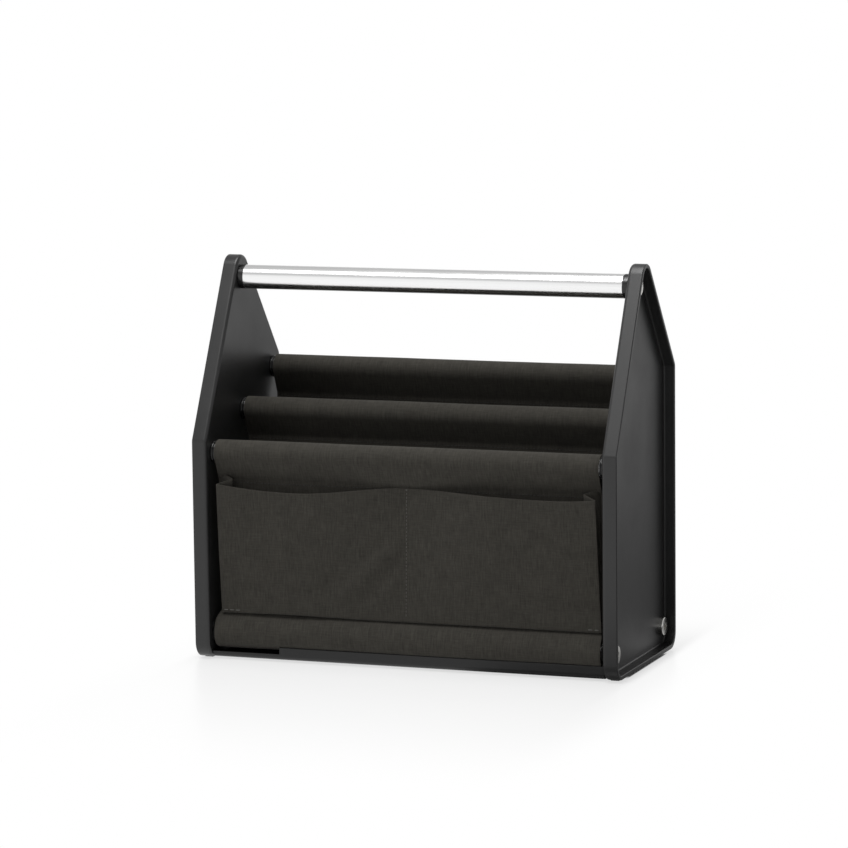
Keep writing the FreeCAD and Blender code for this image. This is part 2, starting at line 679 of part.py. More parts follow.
def gusset(name, side):
    """Bellows fold that joins an outer edge of the pocket to the wall, as deep as the pocket stands off.

    Its fold keeps the same slope from end to end, so all its faces are flat and are set corner by corner.
    """
    thick = size("dims.cloth_thickness")
    edge = size(POCKET_HIGH_HALF) - thick
    back = -size(WALL_FRONT) - size("dims.cloth_clearance")
    ends = []
    for height in (size(POCKET_BOTTOM) + size("dims.gusset_start"), size(POCKET_CORNER)):
        share = (height - size(POCKET_BOTTOM)) / (size(POCKET_TOP) - size(POCKET_BOTTOM))
        lining = size(POCKET_SEAT) + share * (size(POCKET_BRIM) - size(POCKET_SEAT))
        front = lining + 2 * size("dims.cloth_clearance")
        middle = (front + back) / 2
        fold = back - front
        section = [
            (edge, front),
            (edge - fold, middle),
            (edge, back),
            (edge, back - thick),
            (edge - fold + 2 * thick, middle),
            (edge, front + thick),
        ]
        ends.append([Vector(side * x, y, height) for x, y in section])
    low, high = ends
    faces = [low, high]
    for index in range(len(low)):
        following = (index + 1) % len(low)
        faces.append([low[index], low[following], high[following], high[index]])
    shell = Part.makeShell([Part.Face(Part.makePolygon(corners + corners[:1])) for corners in faces])
    cloth = doc.addObject("Part::Feature", name)
    cloth.Label = name
    cloth.Shape = Part.makeSolid(shell)
    if cloth.Shape.Volume < 0:
        cloth.Shape = cloth.Shape.reversed()
    return keep(cloth)


def base_tray(name):
    """Shallow moulded tray under the cloth: upturned lips with a notch in each, lugs in the panels."""
    body = new_body(name)
    section = new_sketch(body, name + "_section", "YZ_Plane")
    outer = TRAY_REACH
    inner = "%s - dims.lip_thickness" % TRAY_REACH
    rim = "%s + dims.lip_height" % PANEL_BOTTOM
    points = [
        ("-" + outer, PANEL_BOTTOM), (outer, PANEL_BOTTOM),
        (outer, rim), (inner, rim), (inner, TRAY_TOP),
        ("-(%s)" % inner, TRAY_TOP), ("-(%s)" % inner, rim), ("-" + outer, rim),
    ]
    draw_polygon(section, points)
    pad(body, name + "_plate", section, "2 * %s" % LIP_END, both_ways=True)
    rounds = [
        ("edge_front", "dims.tray_edge_round", 0),
        ("edge_rear", "dims.tray_edge_round", 1),
        ("inside_rear", "dims.tray_inner_round", 4),
        ("inside_front", "dims.tray_inner_round", 5),
    ]
    for label, radius, corner in rounds:
        round_edges(body, "%s_%s" % (name, label), radius, corner_at(points[corner]))

    above_rim = "%s + dims.lip_height" % rim
    notch_floor = "%s - dims.notch_depth" % rim
    for label, sign, forward in (("front", -1, True), ("rear", 1, False)):
        notch = new_sketch(body, "%s_%s_notch" % (name, label), "XZ_Plane")
        middle = "%d * %s" % (sign, NOTCH_MIDDLE)
        draw_polygon(notch, rectangle(middle, "dims.notch_length / 2", notch_floor, above_rim))
        cut(body, "%s_%s_notch_cut" % (name, label), notch, "dims.overall_depth", reverse=forward)

    for label, side in SIDES:
        lugs_end = new_sketch(body, "%s_lugs_%s" % (name, label), "YZ_Plane", "%d * (%s)" % (side, LIP_END))
        for end, sign in (("front", -1), ("rear", 1)):
            draw_polygon(lugs_end, lug_outline(sign, "0"), end)
        pad(body, "%s_lug_pad_%s" % (name, label), lugs_end, "dims.lug_reach", reverse=side < 0)
    return keep(body)


def build():
    for label, side in SIDES:
        end_panel(label + "_end_panel", side)
    for name, plugs, y, z, diameter, ring, bolted in TUBES:
        tube(name, y, z, diameter, ring)
        pair = [plug("%s_%s" % (plugs, label), side, y, z, diameter, ring, bolted) for label, side in SIDES]
        group(plugs, pair)
    frame_bolts("frame_bolts")
    hanging_wall("front_wall_cloth", FRONT, FRONT_ROD, LOWER_TUBE)
    hanging_wall("rear_wall_cloth", REAR, REAR_ROD, LOWER_TUBE)
    divider("divider_cloth", MIDDLE_ROD)
    floor_cloth("floor_cloth")
    pocket_panel("pocket_panel")
    for label, side in SIDES:
        gusset("pocket_gusset_" + label, side)
    base_tray("base_tray")
    for end_label, end in (("front", -1), ("rear", 1)):
        for label, side in SIDES:
            foot("%s_%s_foot" % (end_label, label), side, end)


def check():
    """Stop unless every object recomputed and every sub-part is a sound solid."""
    doc.recompute()
    for item in doc.Objects:
        if "Invalid" in item.State or "Error" in item.State:
            raise RuntimeError("%s failed: %s" % (item.Name, item.State))
    for part in sub_parts:
        if part.Shape.isNull() or not part.Shape.isValid() or not part.Shape.Solids:
            raise RuntimeError("%s has no sound solid" % part.Label)


def export():
    os.makedirs("parts", exist_ok=True)
    for part in sub_parts:
        part.Shape.exportStep("parts/%s.step" % part.Label)


build()
check()
export()
print("%d sub-parts, %d solids" % (len(sub_parts), sum(len(part.Shape.Solids) for part in sub_parts)))
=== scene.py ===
import math

import bpy
from bpy.props import FloatProperty, FloatVectorProperty, PointerProperty
from mathutils import Matrix, Vector, noise


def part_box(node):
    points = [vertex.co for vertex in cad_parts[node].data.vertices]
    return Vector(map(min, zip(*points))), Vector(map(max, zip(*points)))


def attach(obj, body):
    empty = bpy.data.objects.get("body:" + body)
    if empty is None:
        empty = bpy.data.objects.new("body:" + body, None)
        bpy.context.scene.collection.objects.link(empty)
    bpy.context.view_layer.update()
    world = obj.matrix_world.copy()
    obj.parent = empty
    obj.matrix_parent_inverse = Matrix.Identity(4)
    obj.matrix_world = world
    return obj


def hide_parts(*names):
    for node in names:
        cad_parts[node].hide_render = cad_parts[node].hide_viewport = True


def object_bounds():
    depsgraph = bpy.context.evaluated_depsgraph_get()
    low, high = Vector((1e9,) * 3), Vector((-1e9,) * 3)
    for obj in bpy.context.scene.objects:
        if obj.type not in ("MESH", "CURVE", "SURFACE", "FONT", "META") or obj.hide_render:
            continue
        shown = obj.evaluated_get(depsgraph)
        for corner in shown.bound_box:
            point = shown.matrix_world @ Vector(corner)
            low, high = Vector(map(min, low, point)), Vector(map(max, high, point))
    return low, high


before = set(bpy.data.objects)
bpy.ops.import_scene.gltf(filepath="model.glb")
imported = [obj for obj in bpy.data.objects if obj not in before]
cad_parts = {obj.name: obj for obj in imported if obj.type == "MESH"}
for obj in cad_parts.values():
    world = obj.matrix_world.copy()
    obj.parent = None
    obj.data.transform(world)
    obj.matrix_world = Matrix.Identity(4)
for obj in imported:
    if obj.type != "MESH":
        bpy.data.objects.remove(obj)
CAD_LOW, CAD_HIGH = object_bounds()

bl_info = {
    "name": "Tool Caddy",
    "version": (1, 0, 0),
    "blender": (4, 5, 0),
    "location": "View3D > Sidebar > Caddy",
    "description": "Dresses the packed frame of a canvas tool caddy with its finished pieces",
    "category": "Object",
}

BODY = "root"
MM = 0.001
SIDES = (("left", -1), ("right", 1))
ORIGIN = Vector((0, 0, 0))
WHITE = (1.0, 1.0, 1.0, 1.0)


# Places read from the frame

def low(node):
    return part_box(node)[0]


def high(node):
    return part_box(node)[1]


def centre(node):
    return (low(node) + high(node)) / 2


PANEL_INNER = low("right_end_panel").x
PANEL_OUTER = high("right_end_panel").x
PANEL_FRONT = low("right_end_panel").y
PANEL_BACK = high("right_end_panel").y
PANEL_BOTTOM = low("right_end_panel").z
CLOTH_HALF = high("front_wall_cloth").x
FRONT_ROD = centre("front_top_rod")
MIDDLE_ROD = centre("middle_top_rod")
REAR_ROD = centre("rear_top_rod")
FRONT_TUBE = centre("front_lower_tube")
REAR_TUBE = centre("rear_lower_tube")
HANDLE = centre("handle_tube")
ROD_RADIUS = (high("front_top_rod").z - low("front_top_rod").z) / 2
HANDLE_RADIUS = (high("handle_tube").z - low("handle_tube").z) / 2
FLOOR_CLOTH_LEVEL = centre("floor_cloth").z
FLOOR_CLOTH_HALF = high("floor_cloth").y
POCKET_LOW = low("pocket_panel").z
POCKET_HALF = high("pocket_panel").x


# Settings that a user would change

def length(default, description):
    """Length with its default in mm."""
    return FloatProperty(description=description, default=default * MM, unit="LENGTH", precision=5)


def number(default, description):
    return FloatProperty(description=description, default=default)


def angle(degrees, description):
    return FloatProperty(description=description, default=math.radians(degrees), subtype="ANGLE")


def colour(default, description):
    return FloatVectorProperty(description=description, default=default, subtype="COLOR", min=0.0, max=1.0)


class CaddyPanels(bpy.types.PropertyGroup):
    """Moulded end panels"""
    wall: length(4, "Web and rim")
    front_knee: length(200, "Height at which the front edge turns into its slope")
    rear_knee: length(261, "Height at which the rear edge turns into its slope")
    apex: length(372, "Height at which the slopes would meet")
    apex_offset: length(0.5, "Apex behind the middle")
    crown: length(15, "Radius of the round top")
    knee: length(6, "Radius at the two knees")
    corner: length(15, "Radius at the two bottom corners")
    inner_round: length(3.2, "Round along the inner face")
    rim_round: length(0.9, "Round along the edges of the rim")
    web_round: length(1.5, "Fillet between web and rim")
    tint: colour((0.014, 0.014, 0.014), "Moulded plastic")


class CaddyTubes(bpy.types.PropertyGroup):
    """Tubes, end plugs and frame bolts"""
    wall: length(1.5, "Wall of a tube")
    edge: length(0.35, "Broken edge of a tube")
    ring_round: length(0.6, "Edges of the ring of a plug")
    collar: length(2, "The plain rings of the handle's plugs are this much longer")
    groove: length(0.6, "Depth and width of the groove round the ring of a plug")
    groove_place: length(2.2, "Groove from the panel")
    spigot: length(22, "Plug inside its tube")
    head_radius: length(8.5, "Head of a bolt")
    head_height: length(5, "Head of a bolt")
    head_round: length(0.9, "Edge of the head")
    key: length(6, "Across the flats of the hexagon socket")
    key_depth: length(2.6, "Depth of the hexagon socket")
    key_round: length(0.25, "Edge of the hexagon socket")
    shank: length(4, "Radius of the shank of a bolt")
    shank_length: length(24, "Shank below the head")
    aluminium: colour((0.92, 0.92, 0.92), "Drawn tube")
    black: colour((0.010, 0.010, 0.010), "Plugs of all tubes")
    nickel: colour((0.78, 0.77, 0.74), "Plated bolts")


class CaddyCloth(bpy.types.PropertyGroup):
    """Canvas walls, divider and floor"""
    thickness: length(1.2, "Canvas")
    clearance: length(0.3, "Canvas to the rod inside its sleeve")
    upper_seam: length(24, "Seam below the axis of an upper rod")
    lower_seam: length(33, "Seam above the axis of a lower tube")
    stitch_line: length(3, "Stitching from the seam into its tail")
    tail: length(9, "Seam allowance past the seam")
    step: length(3, "Length of a face along the cloth")
    fine_step: length(0.8, "Length of a face beside a seam")
    tail_step: length(1.2, "Length of a face in a tail")
    bend: length(2, "Radius at the foot of the divider")
    spread: length(1.4, "The walls widen at their lower sleeves")
    waist: length(1.4, "The walls narrow above their lower sleeves")
    roll_top: length(24, "Top of the loose front roll above the axis of its tube")
    roll_reach: length(13.4, "Loose front roll in front of the axis of its tube")
    roll_drop: length(12.4, "Lowest part of the loose roll below the axis of its tube")
    pitch: length(0.62, "Distance between threads of the weave")
    dark: colour((0.0269, 0.0251, 0.0213), "Darker yarn of the weave")
    light: colour((0.0622, 0.0579, 0.0493), "Lighter yarn of the weave")
    # Painted shade: below 1 the pocket gets a darker copy of the walls' canvas, standing in for less light on
    # it
    pocket_level: number(0.93, "Pocket cloth against that of the walls")


class CaddyPocket(bpy.types.PropertyGroup):
    """Front pocket and its gussets"""
    top_half: length(178.5, "Centre seam to an upper corner")
    left_upper: length(-0.5, "Upper left corner beyond the half width")
    right_upper: length(1.2, "Upper right corner beyond the half width")
    left_lower: length(-2.3, "Lower left corner beyond the half width")
    right_lower: length(2.2, "Lower right corner beyond the half width")
    corner_height: length(161, "Upper edge at the outer corners")
    left_sag: length(155.1, "Lowest point of the upper edge of the left half")
    right_sag: length(158.6, "Lowest point of the upper edge of the right half")
    left_dip: number(0.58, "Place of the lowest point, as a share of the left half")
    right_dip: number(0.74, "Place of the lowest point, as a share of the right half")
    centre_height: length(162.4, "Upper edge at the centre seam")
    corner_reach: length(15.4, "Upper corners in front of the wall's middle")
    sag_reach: length(12.7, "Half way along each half, in front of the wall's middle")
    seam_reach: length(1.5, "Centre seam in front of the wall's middle")
    lower_reach: length(6.4, "Lower edge in front of the wall's middle")
    fold: length(1.25, "Radius of the folded lower edge")
    allowance: length(7, "Turned-up cloth behind the lower edge")
    bow: length(1.8, "Belly of each half")
    gusset_low: length(62, "Lower end of a gusset")
    gusset_rise: length(8, "Upper edge of a gusset from the pocket up to the wall")


class CaddyStitches(bpy.types.PropertyGroup):
    """Sewing thread"""
    thread: length(0.34, "Radius of the thread")
    stitch: length(2.6, "Length of a stitch")
    pitch: length(3.4, "Stitch to stitch")
    tack_thread: length(0.55, "Radius of the strokes of a corner tack")
    tack_stitch: length(5.2, "Length of a stroke of a corner tack")
    tack_pitch: length(5.9, "Stroke to stroke of a corner tack")
    inset: length(2, "Ends of a seam from the edge of the cloth")
    tint: colour((0.070, 0.0675, 0.060), "Thread of the pocket")
    quiet: colour((0.022, 0.0207, 0.0178), "Thread of the sleeves, like the cloth")


class CaddyTray(bpy.types.PropertyGroup):
    """Base tray and feet"""
    plate: length(3, "Bottom of the tray")
    lip: length(2, "Thickness of the upturned lip")
    edge_round: length(5, "Lower edge of the tray")
    inner_round: length(2, "Inside corner of plate and lip")
    lip_round: length(0.7, "Upper edge of the lip")
    end_round: length(0.35, "Edges of the ends and notches")
    end_gap: length(0.3, "Between the tray and a panel")
    notch_start: length(121, "Inner end of the notch from the middle")
    notch_length: length(66, "Notch in the lip")
    notch_depth: length(6.2, "Below the upper edge of the lip")
    foot_round: length(0.5, "Edges of a foot")
    lift: length(0.8, "Underside of the tray above that of the panels")
    tint: colour((0.010, 0.010, 0.010), "Tray")
    rubber: colour((0.012, 0.012, 0.012), "Feet")


class CaddyStage(bpy.types.PropertyGroup):
    """Camera and floor"""
    azimuth: angle(19.967, "Camera to the right of the front")
    elevation: angle(8.040, "Camera above the point that it is measured from")
    heading: angle(20.116, "Direction of the lens, to the right of the front")
    tilt: angle(7.722, "Lens below the level")
    roll: angle(-0.622, "Camera about its own axis")
    distance: length(3673.3, "Camera from the point that it is measured from")
    aim: length(190, "Height of that point over the floor")
    lens: number(172.517, "Focal length on a 36 mm sensor")
    floor: colour((0.92, 0.92, 0.92), "Pale floor")


GROUPS = {
    "caddy_panels": CaddyPanels,
    "caddy_tubes": CaddyTubes,
    "caddy_cloth": CaddyCloth,
    "caddy_pocket": CaddyPocket,
    "caddy_stitches": CaddyStitches,
    "caddy_tray": CaddyTray,
    "caddy_stage": CaddyStage,
}


# Working by hand in code: selecting, editing and finishing a piece

def set_mode(mode):
    bpy.ops.object.mode_set(mode=mode)


def deselect():
    if bpy.context.mode != "OBJECT":
        set_mode("OBJECT")
    bpy.ops.object.select_all(action="DESELECT")


def take(name):
    """Name the primitive that was just added."""
    piece = bpy.context.active_object
    piece.name = name
    piece.data.name = name
    return piece


def link_object(name, data):
    piece = bpy.data.objects.new(name, data)
    bpy.context.scene.collection.objects.link(piece)
    return piece


def activate(piece):
    deselect()
    piece.select_set(True)
    bpy.context.view_layer.objects.active = piece


def near(value, wanted, spare=0.02 * MM):
    return abs(value - wanted) < spare


def faces_at(x):
    return lambda place: near(place.x, x)


def edges_at(x):
    return lambda first, second: near(first.x, x) and near(second.x, x)


def inside_flat(normals):
    """True for an edge between two faces of one plane."""
    return len(normals) == 2 and normals[0].dot(normals[1]) > 0.9999


def pick(piece, kind, test):
    """Enter edit mode with only the edges or faces selected that the test accepts.

    An edge is tested by its two ends and a face by its centre. An edge inside a flat surface is left out.
    """
    activate(piece)
    set_mode("EDIT")
    bpy.ops.mesh.select_mode(type=kind)
    bpy.ops.mesh.select_all(action="DESELECT")
    set_mode("OBJECT")
    mesh = piece.data
    if kind == "EDGE":
        items = mesh.edges
        normals = {}
        for face in mesh.polygons:
            for key in face.edge_keys:
                normals.setdefault(key, []).append(face.normal)
        for edge in items:
            ends = [mesh.vertices[index].co for index in edge.vertices]
            edge.select = not inside_flat(normals[edge.key]) and test(*ends)
    else:
        items = mesh.polygons
        for face in items:
            face.select = test(face.center)
    if not any(item.select for item in items):
        raise RuntimeError("nothing to select on " + piece.name)
    set_mode("EDIT")


def bevel_edges(piece, test, width, segments):
    pick(piece, "EDGE", test)
    bpy.ops.mesh.bevel(offset=width, segments=segments, affect="EDGES", clamp_overlap=False)
    set_mode("OBJECT")


def extrude_along(move):
    """Extrude the selection along X."""
    bpy.ops.mesh.extrude_region_move(TRANSFORM_OT_translate={"value": (move, 0, 0)})


def sink_face(piece, x, width, move):
    """Inset the face at X and push what lies inside the inset."""
    pick(piece, "FACE", faces_at(x))
    bpy.ops.mesh.inset(thickness=width, depth=0.0)
    extrude_along(move)
    set_mode("OBJECT")


def put_modifier(piece, kind, **settings):
    """Add a modifier and apply it."""
    activate(piece)
    modifier = piece.modifiers.new(kind.lower(), kind)
    for key, value in settings.items():
        setattr(modifier, key, value)
    bpy.ops.object.modifier_apply(modifier=modifier.name)


def cut(piece, cutter):
    """Take the shape of a cutter out of a piece."""
    put_modifier(piece, "BOOLEAN", object=cutter, operation="DIFFERENCE", solver="EXACT")
    bpy.data.objects.remove(cutter)


def outward(piece):
    """Merge double vertices and turn all faces outwards."""
    activate(piece)
    set_mode("EDIT")
    bpy.ops.mesh.select_all(action="SELECT")
    bpy.ops.mesh.remove_doubles(threshold=1e-6)
    bpy.ops.mesh.normals_make_consistent(inside=False)
    set_mode("OBJECT")


def place_applied(piece):
    activate(piece)
    bpy.ops.object.transform_apply(location=True, rotation=True, scale=True)
    return piece


def smooth(piece, degrees=40.0, weighted=True):
    activate(piece)
    bpy.ops.object.shade_smooth_by_angle(angle=math.radians(degrees))
    if weighted:
        put_modifier(piece, "WEIGHTED_NORMAL", keep_sharp=True)


def finish(piece, degrees=40.0):
    outward(piece)
    smooth(piece, degrees)
    return piece


def hand_over(piece, material, slot, *nodes):
    """Give a finished piece its material and body, and hide the nodes that it stands for."""
    piece.data.materials.clear()
    piece.data.materials.append(material)
    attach(piece, BODY)
    if nodes:
        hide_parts(*nodes)


# Outlines and plain bodies

def arc_points(middle, radius, start, end, step=math.radians(6)):
    """Points on an arc from one angle to another, both included."""
    count = max(2, math.ceil(abs(end - start) / step))
    angles = [start + (end - start) * index / count for index in range(count + 1)]
    return [middle + radius * Vector((math.cos(angle), math.sin(angle))) for angle in angles]


def rounded_outline(corners, radii):
    """Closed outline through the corners, each rounded by an arc."""
    points = []
    count = len(corners)
    for index, radius in enumerate(radii):
        corner = Vector(corners[index])
        to_last = (Vector(corners[index - 1]) - corner).normalized()
        to_next = (Vector(corners[(index + 1) % count]) - corner).normalized()
        half = to_last.angle(to_next) / 2
        reach = radius / math.tan(half)
        middle = corner + (to_last + to_next).normalized() * radius / math.sin(half)
        first = corner + to_last * reach - middle
        last = corner + to_next * reach - middle
        start = math.atan2(first.y, first.x)
        turn = math.atan2(last.y, last.x) - start
        turn = (turn + math.pi) % (2 * math.pi) - math.pi
        points += arc_points(middle, radius, start, start + turn)
    return points


def draw_out(name, outline, start, end):
    """Solid between two planes of constant X with the given (Y, Z) outline."""
    deselect()
    bpy.ops.mesh.primitive_circle_add(vertices=len(outline), radius=1.0, fill_type="NGON")
    piece = take(name)
    for vertex, point in zip(piece.data.vertices, outline):
        vertex.co = (start, point.x, point.y)
    pick(piece, "FACE", lambda place: True)
    extrude_along(end - start)
    outward(piece)
    return piece


def add_rod(name, radius, start, end, place=ORIGIN, vertices=96):
    """Closed cylinder along X."""
    deselect()
    bpy.ops.mesh.primitive_cylinder_add(
        vertices=vertices, radius=radius, depth=end - start,
        location=((start + end) / 2, place.y, place.z), rotation=(0, math.pi / 2, 0))
    return place_applied(take(name))


def add_box(name, middle, size):
    deselect()
    bpy.ops.mesh.primitive_cube_add(size=1.0, location=middle, scale=size)
    return place_applied(take(name))


# Shader helpers and shared effects

def feed(tree, node, inputs):
    """Link or set inputs of a node."""
    for key, value in inputs.items():
        if isinstance(value, bpy.types.NodeSocket):
            tree.links.new(value, node.inputs[key])
        else:
            node.inputs[key].default_value = value


def add_node(tree, kind, inputs=None, **settings):
    node = tree.nodes.new("ShaderNode" + kind)
    for key, value in settings.items():
        setattr(node, key, value)
    feed(tree, node, inputs or {})
    return node


def maths(tree, operation, *values):
    return add_node(tree, "Math", dict(enumerate(values)), operation=operation).outputs[0]


def vector_maths(tree, operation, *values):
    node = add_node(tree, "VectorMath", dict(enumerate(values)), operation=operation)
    return node.outputs["Value" if operation in ("DOT_PRODUCT", "LENGTH") else "Vector"]


def axes(tree, vector):
    return add_node(tree, "SeparateXYZ", {0: vector}).outputs


def mix(tree, factor, first, second):
    return add_node(tree, "Mix", {0: factor, 2: first, 3: second}, data_type="FLOAT").outputs[0]


def mix_colours(tree, factor, first, second, way="MIX"):
    inputs = {0: factor, 6: first, 7: second}
    return add_node(tree, "Mix", inputs, data_type="RGBA", blend_type=way).outputs[2]


def ramp(tree, value, start, end, first, last, way="LINEAR"):
    """Value that runs from first at start to last at end."""
    inputs = {0: value, 1: start, 2: end, 3: first, 4: last}
    return add_node(tree, "MapRange", inputs, interpolation_type=way).outputs[0]


def smooth_ramp(tree, *values):
    return ramp(tree, *values, way="SMOOTHSTEP")


def noise_texture(tree, vector, scale, detail, rough=0.5):
    inputs = {"Vector": vector, "Scale": scale, "Detail": detail, "Roughness": rough}
    return add_node(tree, "TexNoise", inputs).outputs[0]


def bump(tree, height, strength, distance):
    return add_node(tree, "Bump", {"Height": height, "Strength": strength, "Distance": distance}).outputs[0]


def object_place(tree):
    return add_node(tree, "TexCoord").outputs["Object"]


def rgba(tint, level=1.0):
    return (tint[0] * level, tint[1] * level, tint[2] * level, 1.0)


def new_group(name, numbers, *results):
    """Group that takes a vector and some numbers with their defaults, and gives some numbers."""
    tree = bpy.data.node_groups.new(name, "ShaderNodeTree")
    tree.interface.new_socket("Vector", in_out="INPUT", socket_type="NodeSocketVector")
    for label, default in numbers.items():
        socket = tree.interface.new_socket(label, in_out="INPUT", socket_type="NodeSocketFloat")
        socket.default_value = default
    for label in results:
        tree.interface.new_socket(label, in_out="OUTPUT", socket_type="NodeSocketFloat")
    return tree, tree.nodes.new("NodeGroupInput").outputs, tree.nodes.new("NodeGroupOutput")


def place_group(tree, build, inputs):
    """Outputs of a shared effect, which is built when it is first needed."""
    group = bpy.data.node_groups.get(build.__name__) or build()
    return add_node(tree, "Group", inputs, node_tree=group).outputs


def moulded_grain():
    """Fine pebble of a mould surface, with broad patches of handling."""
    tree, given, leave = new_group("moulded_grain", {"Grain": 2200.0}, "Height", "Patches")
    broad = noise_texture(tree, given["Vector"], 14.0, 5.0, 0.6)
    feed(tree, leave, {
        "Height": noise_texture(tree, given["Vector"], given["Grain"], 2.0),
        "Patches": ramp(tree, broad, 0.35, 0.65, 0.0, 1.0),
    })
    return tree


def drawn_lines():
    """Fine lines along X, as a drawing die or a brush leaves them."""
    tree, given, leave = new_group("drawn_lines", {"Along": 3.0, "Across": 2600.0}, "Lines", "Patches")
    stretch = add_node(tree, "CombineXYZ", {0: given["Along"], 1: given["Across"], 2: given["Across"]})
    drawn = vector_maths(tree, "MULTIPLY", given["Vector"], stretch.outputs[0])
    feed(tree, leave, {
        "Lines": noise_texture(tree, drawn, 1.0, 3.0),
        "Patches": noise_texture(tree, given["Vector"], 22.0, 4.0),
    })
    return tree


def plain_weave():
    """Warp and weft at a given pitch on the cloth's own map, with slubs in both yarns."""
    tree, given, leave = new_group("plain_weave", {"Pitch": 0.0006}, "Height", "Yarn", "Slub")
    place = axes(tree, given["Vector"])
    cells = []
    threads = []
    for axis in (0, 1):
        count = maths(tree, "DIVIDE", place[axis], given["Pitch"])
        cells.append(maths(tree, "FLOOR", count))
        turn = maths(tree, "MULTIPLY", maths(tree, "FRACT", count), math.pi)
        threads.append(maths(tree, "SINE", turn))
    over = maths(tree, "FLOORED_MODULO", maths(tree, "ADD", *cells), 2.0)

    def streaks(wide, tall, share):
        across = maths(tree, "MULTIPLY", place[0], wide)
        along = maths(tree, "MULTIPLY", place[1], tall)
        spot = add_node(tree, "CombineXYZ", {0: across, 1: along}).outputs[0]
        return maths(tree, "MULTIPLY", noise_texture(tree, spot, 1.0, 3.0, 0.65), share)

    feed(tree, leave, {
        "Height": mix(tree, over, threads[1], threads[0]),
        "Yarn": over,
        "Slub": maths(tree, "ADD", streaks(760.0, 80.0, 0.62), streaks(90.0, 820.0, 0.38)),
    })
    return tree


def new_material(name):
    """Material with a Principled shader: returns the material, its tree and the shader."""
    material = bpy.data.materials.new(name)
    material.use_nodes = True
    tree = material.node_tree
    return material, tree, tree.nodes["Principled BSDF"]


def get_material(name, build, *values):
    return bpy.data.materials.get(name) or build(name, *values)


def moulded_plastic(name, tint, grain, rough, depth, specular=0.5):
    """Black moulding with the mould's grain and patches of handling."""
    material, tree, shader = new_material(name)
    effect = place_group(tree, moulded_grain, {"Vector": object_place(tree), "Grain": grain})
    feed(tree, shader, {
        "Base Color": mix_colours(tree, effect["Patches"], rgba(tint, 0.88), rgba(tint, 1.12)),
        "Roughness": ramp(tree, effect["Patches"], 0.0, 1.0, rough - 0.04, rough + 0.05),
        "Specular IOR Level": specular,
        "Normal": bump(tree, effect["Height"], 0.35, depth),
    })
    return material


def drawn_metal(name, tint, rough, across):
    """Bright metal with fine lines along its length."""
    material, tree, shader = new_material(name)
    effect = place_group(tree, drawn_lines, {"Vector": object_place(tree), "Across": across})
    feed(tree, shader, {
        "Base Color": mix_colours(tree, effect["Lines"], rgba(tint, 0.93), rgba(tint, 1.05)),
        "Roughness": ramp(tree, effect["Patches"], 0.0, 1.0, rough - 0.04, rough + 0.06),
        "Metallic": 1.0,
        "Normal": bump(tree, effect["Lines"], 0.12, 0.00002),
    })
    return material


def sewing_thread(name, tint):
    """Twisted yarn."""
    material, tree, shader = new_material(name)
    inputs = {"Vector": object_place(tree), "Along": 1500.0, "Across": 3200.0}
    lines = place_group(tree, drawn_lines, inputs)["Lines"]
    feed(tree, shader, {
        "Base Color": mix_colours(tree, lines, rgba(tint, 0.75), rgba(tint, 1.25)),
        "Roughness": ramp(tree, lines, 0.0, 1.0, 0.55, 0.75),
        "Normal": bump(tree, lines, 0.3, 0.0001),
    })
    return material


def canvas(name, settings, level):
    """Olive-charcoal canvas in plain weave, mottled by slubs and by broad patches. A level below 1 darkens
    the whole canvas as painted shade.
    """
    material, tree, shader = new_material(name)
    cloth_map = add_node(tree, "UVMap", uv_map="cloth").outputs[0]
    weave = place_group(tree, plain_weave, {"Vector": cloth_map, "Pitch": settings.pitch})
    slub = ramp(tree, weave["Slub"], 0.32, 0.68, 0.0, 1.0)
    patches = maths(tree, "MULTIPLY_ADD", noise_texture(tree, cloth_map, 70.0, 4.0), 0.5, -0.1)
    mottled = maths(tree, "ADD", maths(tree, "MULTIPLY", slub, 0.7), patches)
    # level scales the whole tone; below 1, as on the pocket, this is painted shade
    tone = mix_colours(tree, mottled, rgba(settings.dark, level), rgba(settings.light, level))
    yarn = ramp(tree, weave["Yarn"], 0.0, 1.0, 0.97, 1.03)
    feed(tree, shader, {
        "Base Color": mix_colours(tree, 1.0, tone, yarn, "MULTIPLY"),
        "Roughness": ramp(tree, slub, 0.0, 1.0, 0.95, 0.82),
        "Specular IOR Level": 0.12,
        "Sheen Weight": 0.05,
        "Sheen Roughness": 0.5,
        "Normal": bump(tree, maths(tree, "ADD", weave["Height"], slub), 0.25, 0.00018),
    })
    return material


# End panels

def panel_outline(settings):
    corners = [
        (PANEL_FRONT, PANEL_BOTTOM),
        (PANEL_BACK, PANEL_BOTTOM),
        (PANEL_BACK, settings.rear_knee),
        (settings.apex_offset, settings.apex),
        (PANEL_FRONT, settings.front_knee),
    ]
    radii = [settings.corner, settings.corner, settings.knee, settings.crown, settings.knee]
    return rounded_outline(corners, radii)


def make_panel(name, side, settings):
    """Moulded tray: an outline drawn out to its depth, hollowed from the outer side, all edges rounded."""
    inner = side * PANEL_INNER
    outer = side * PANEL_OUTER
    web = inner + side * settings.wall
    piece = draw_out(name, panel_outline(settings), inner, outer)
    sink_face(piece, outer, settings.wall, web - outer)
    outward(piece)
    bevel_edges(piece, edges_at(web), settings.web_round, 4)
    bevel_edges(piece, edges_at(inner), settings.inner_round, 6)
    bevel_edges(piece, edges_at(outer), settings.rim_round, 3)
    smooth(piece)
    return piece


class CADDY_OT_end_panels(bpy.types.Operator):
    """Make the two moulded end panels"""
    bl_idname = "caddy.end_panels"
    bl_label = "End Panels"

    def execute(self, context):
        settings = context.scene.caddy_panels
        plastic = get_material("moulded_panel", moulded_plastic, settings.tint, 2400.0, 0.38, 0.00006)
        for label, side in SIDES:
            node = label + "_end_panel"
            piece = make_panel(node + "_shell", side, settings)
            hand_over(piece, plastic, "panel_black", node)
        return {"FINISHED"}


# Tubes, plugs and bolts

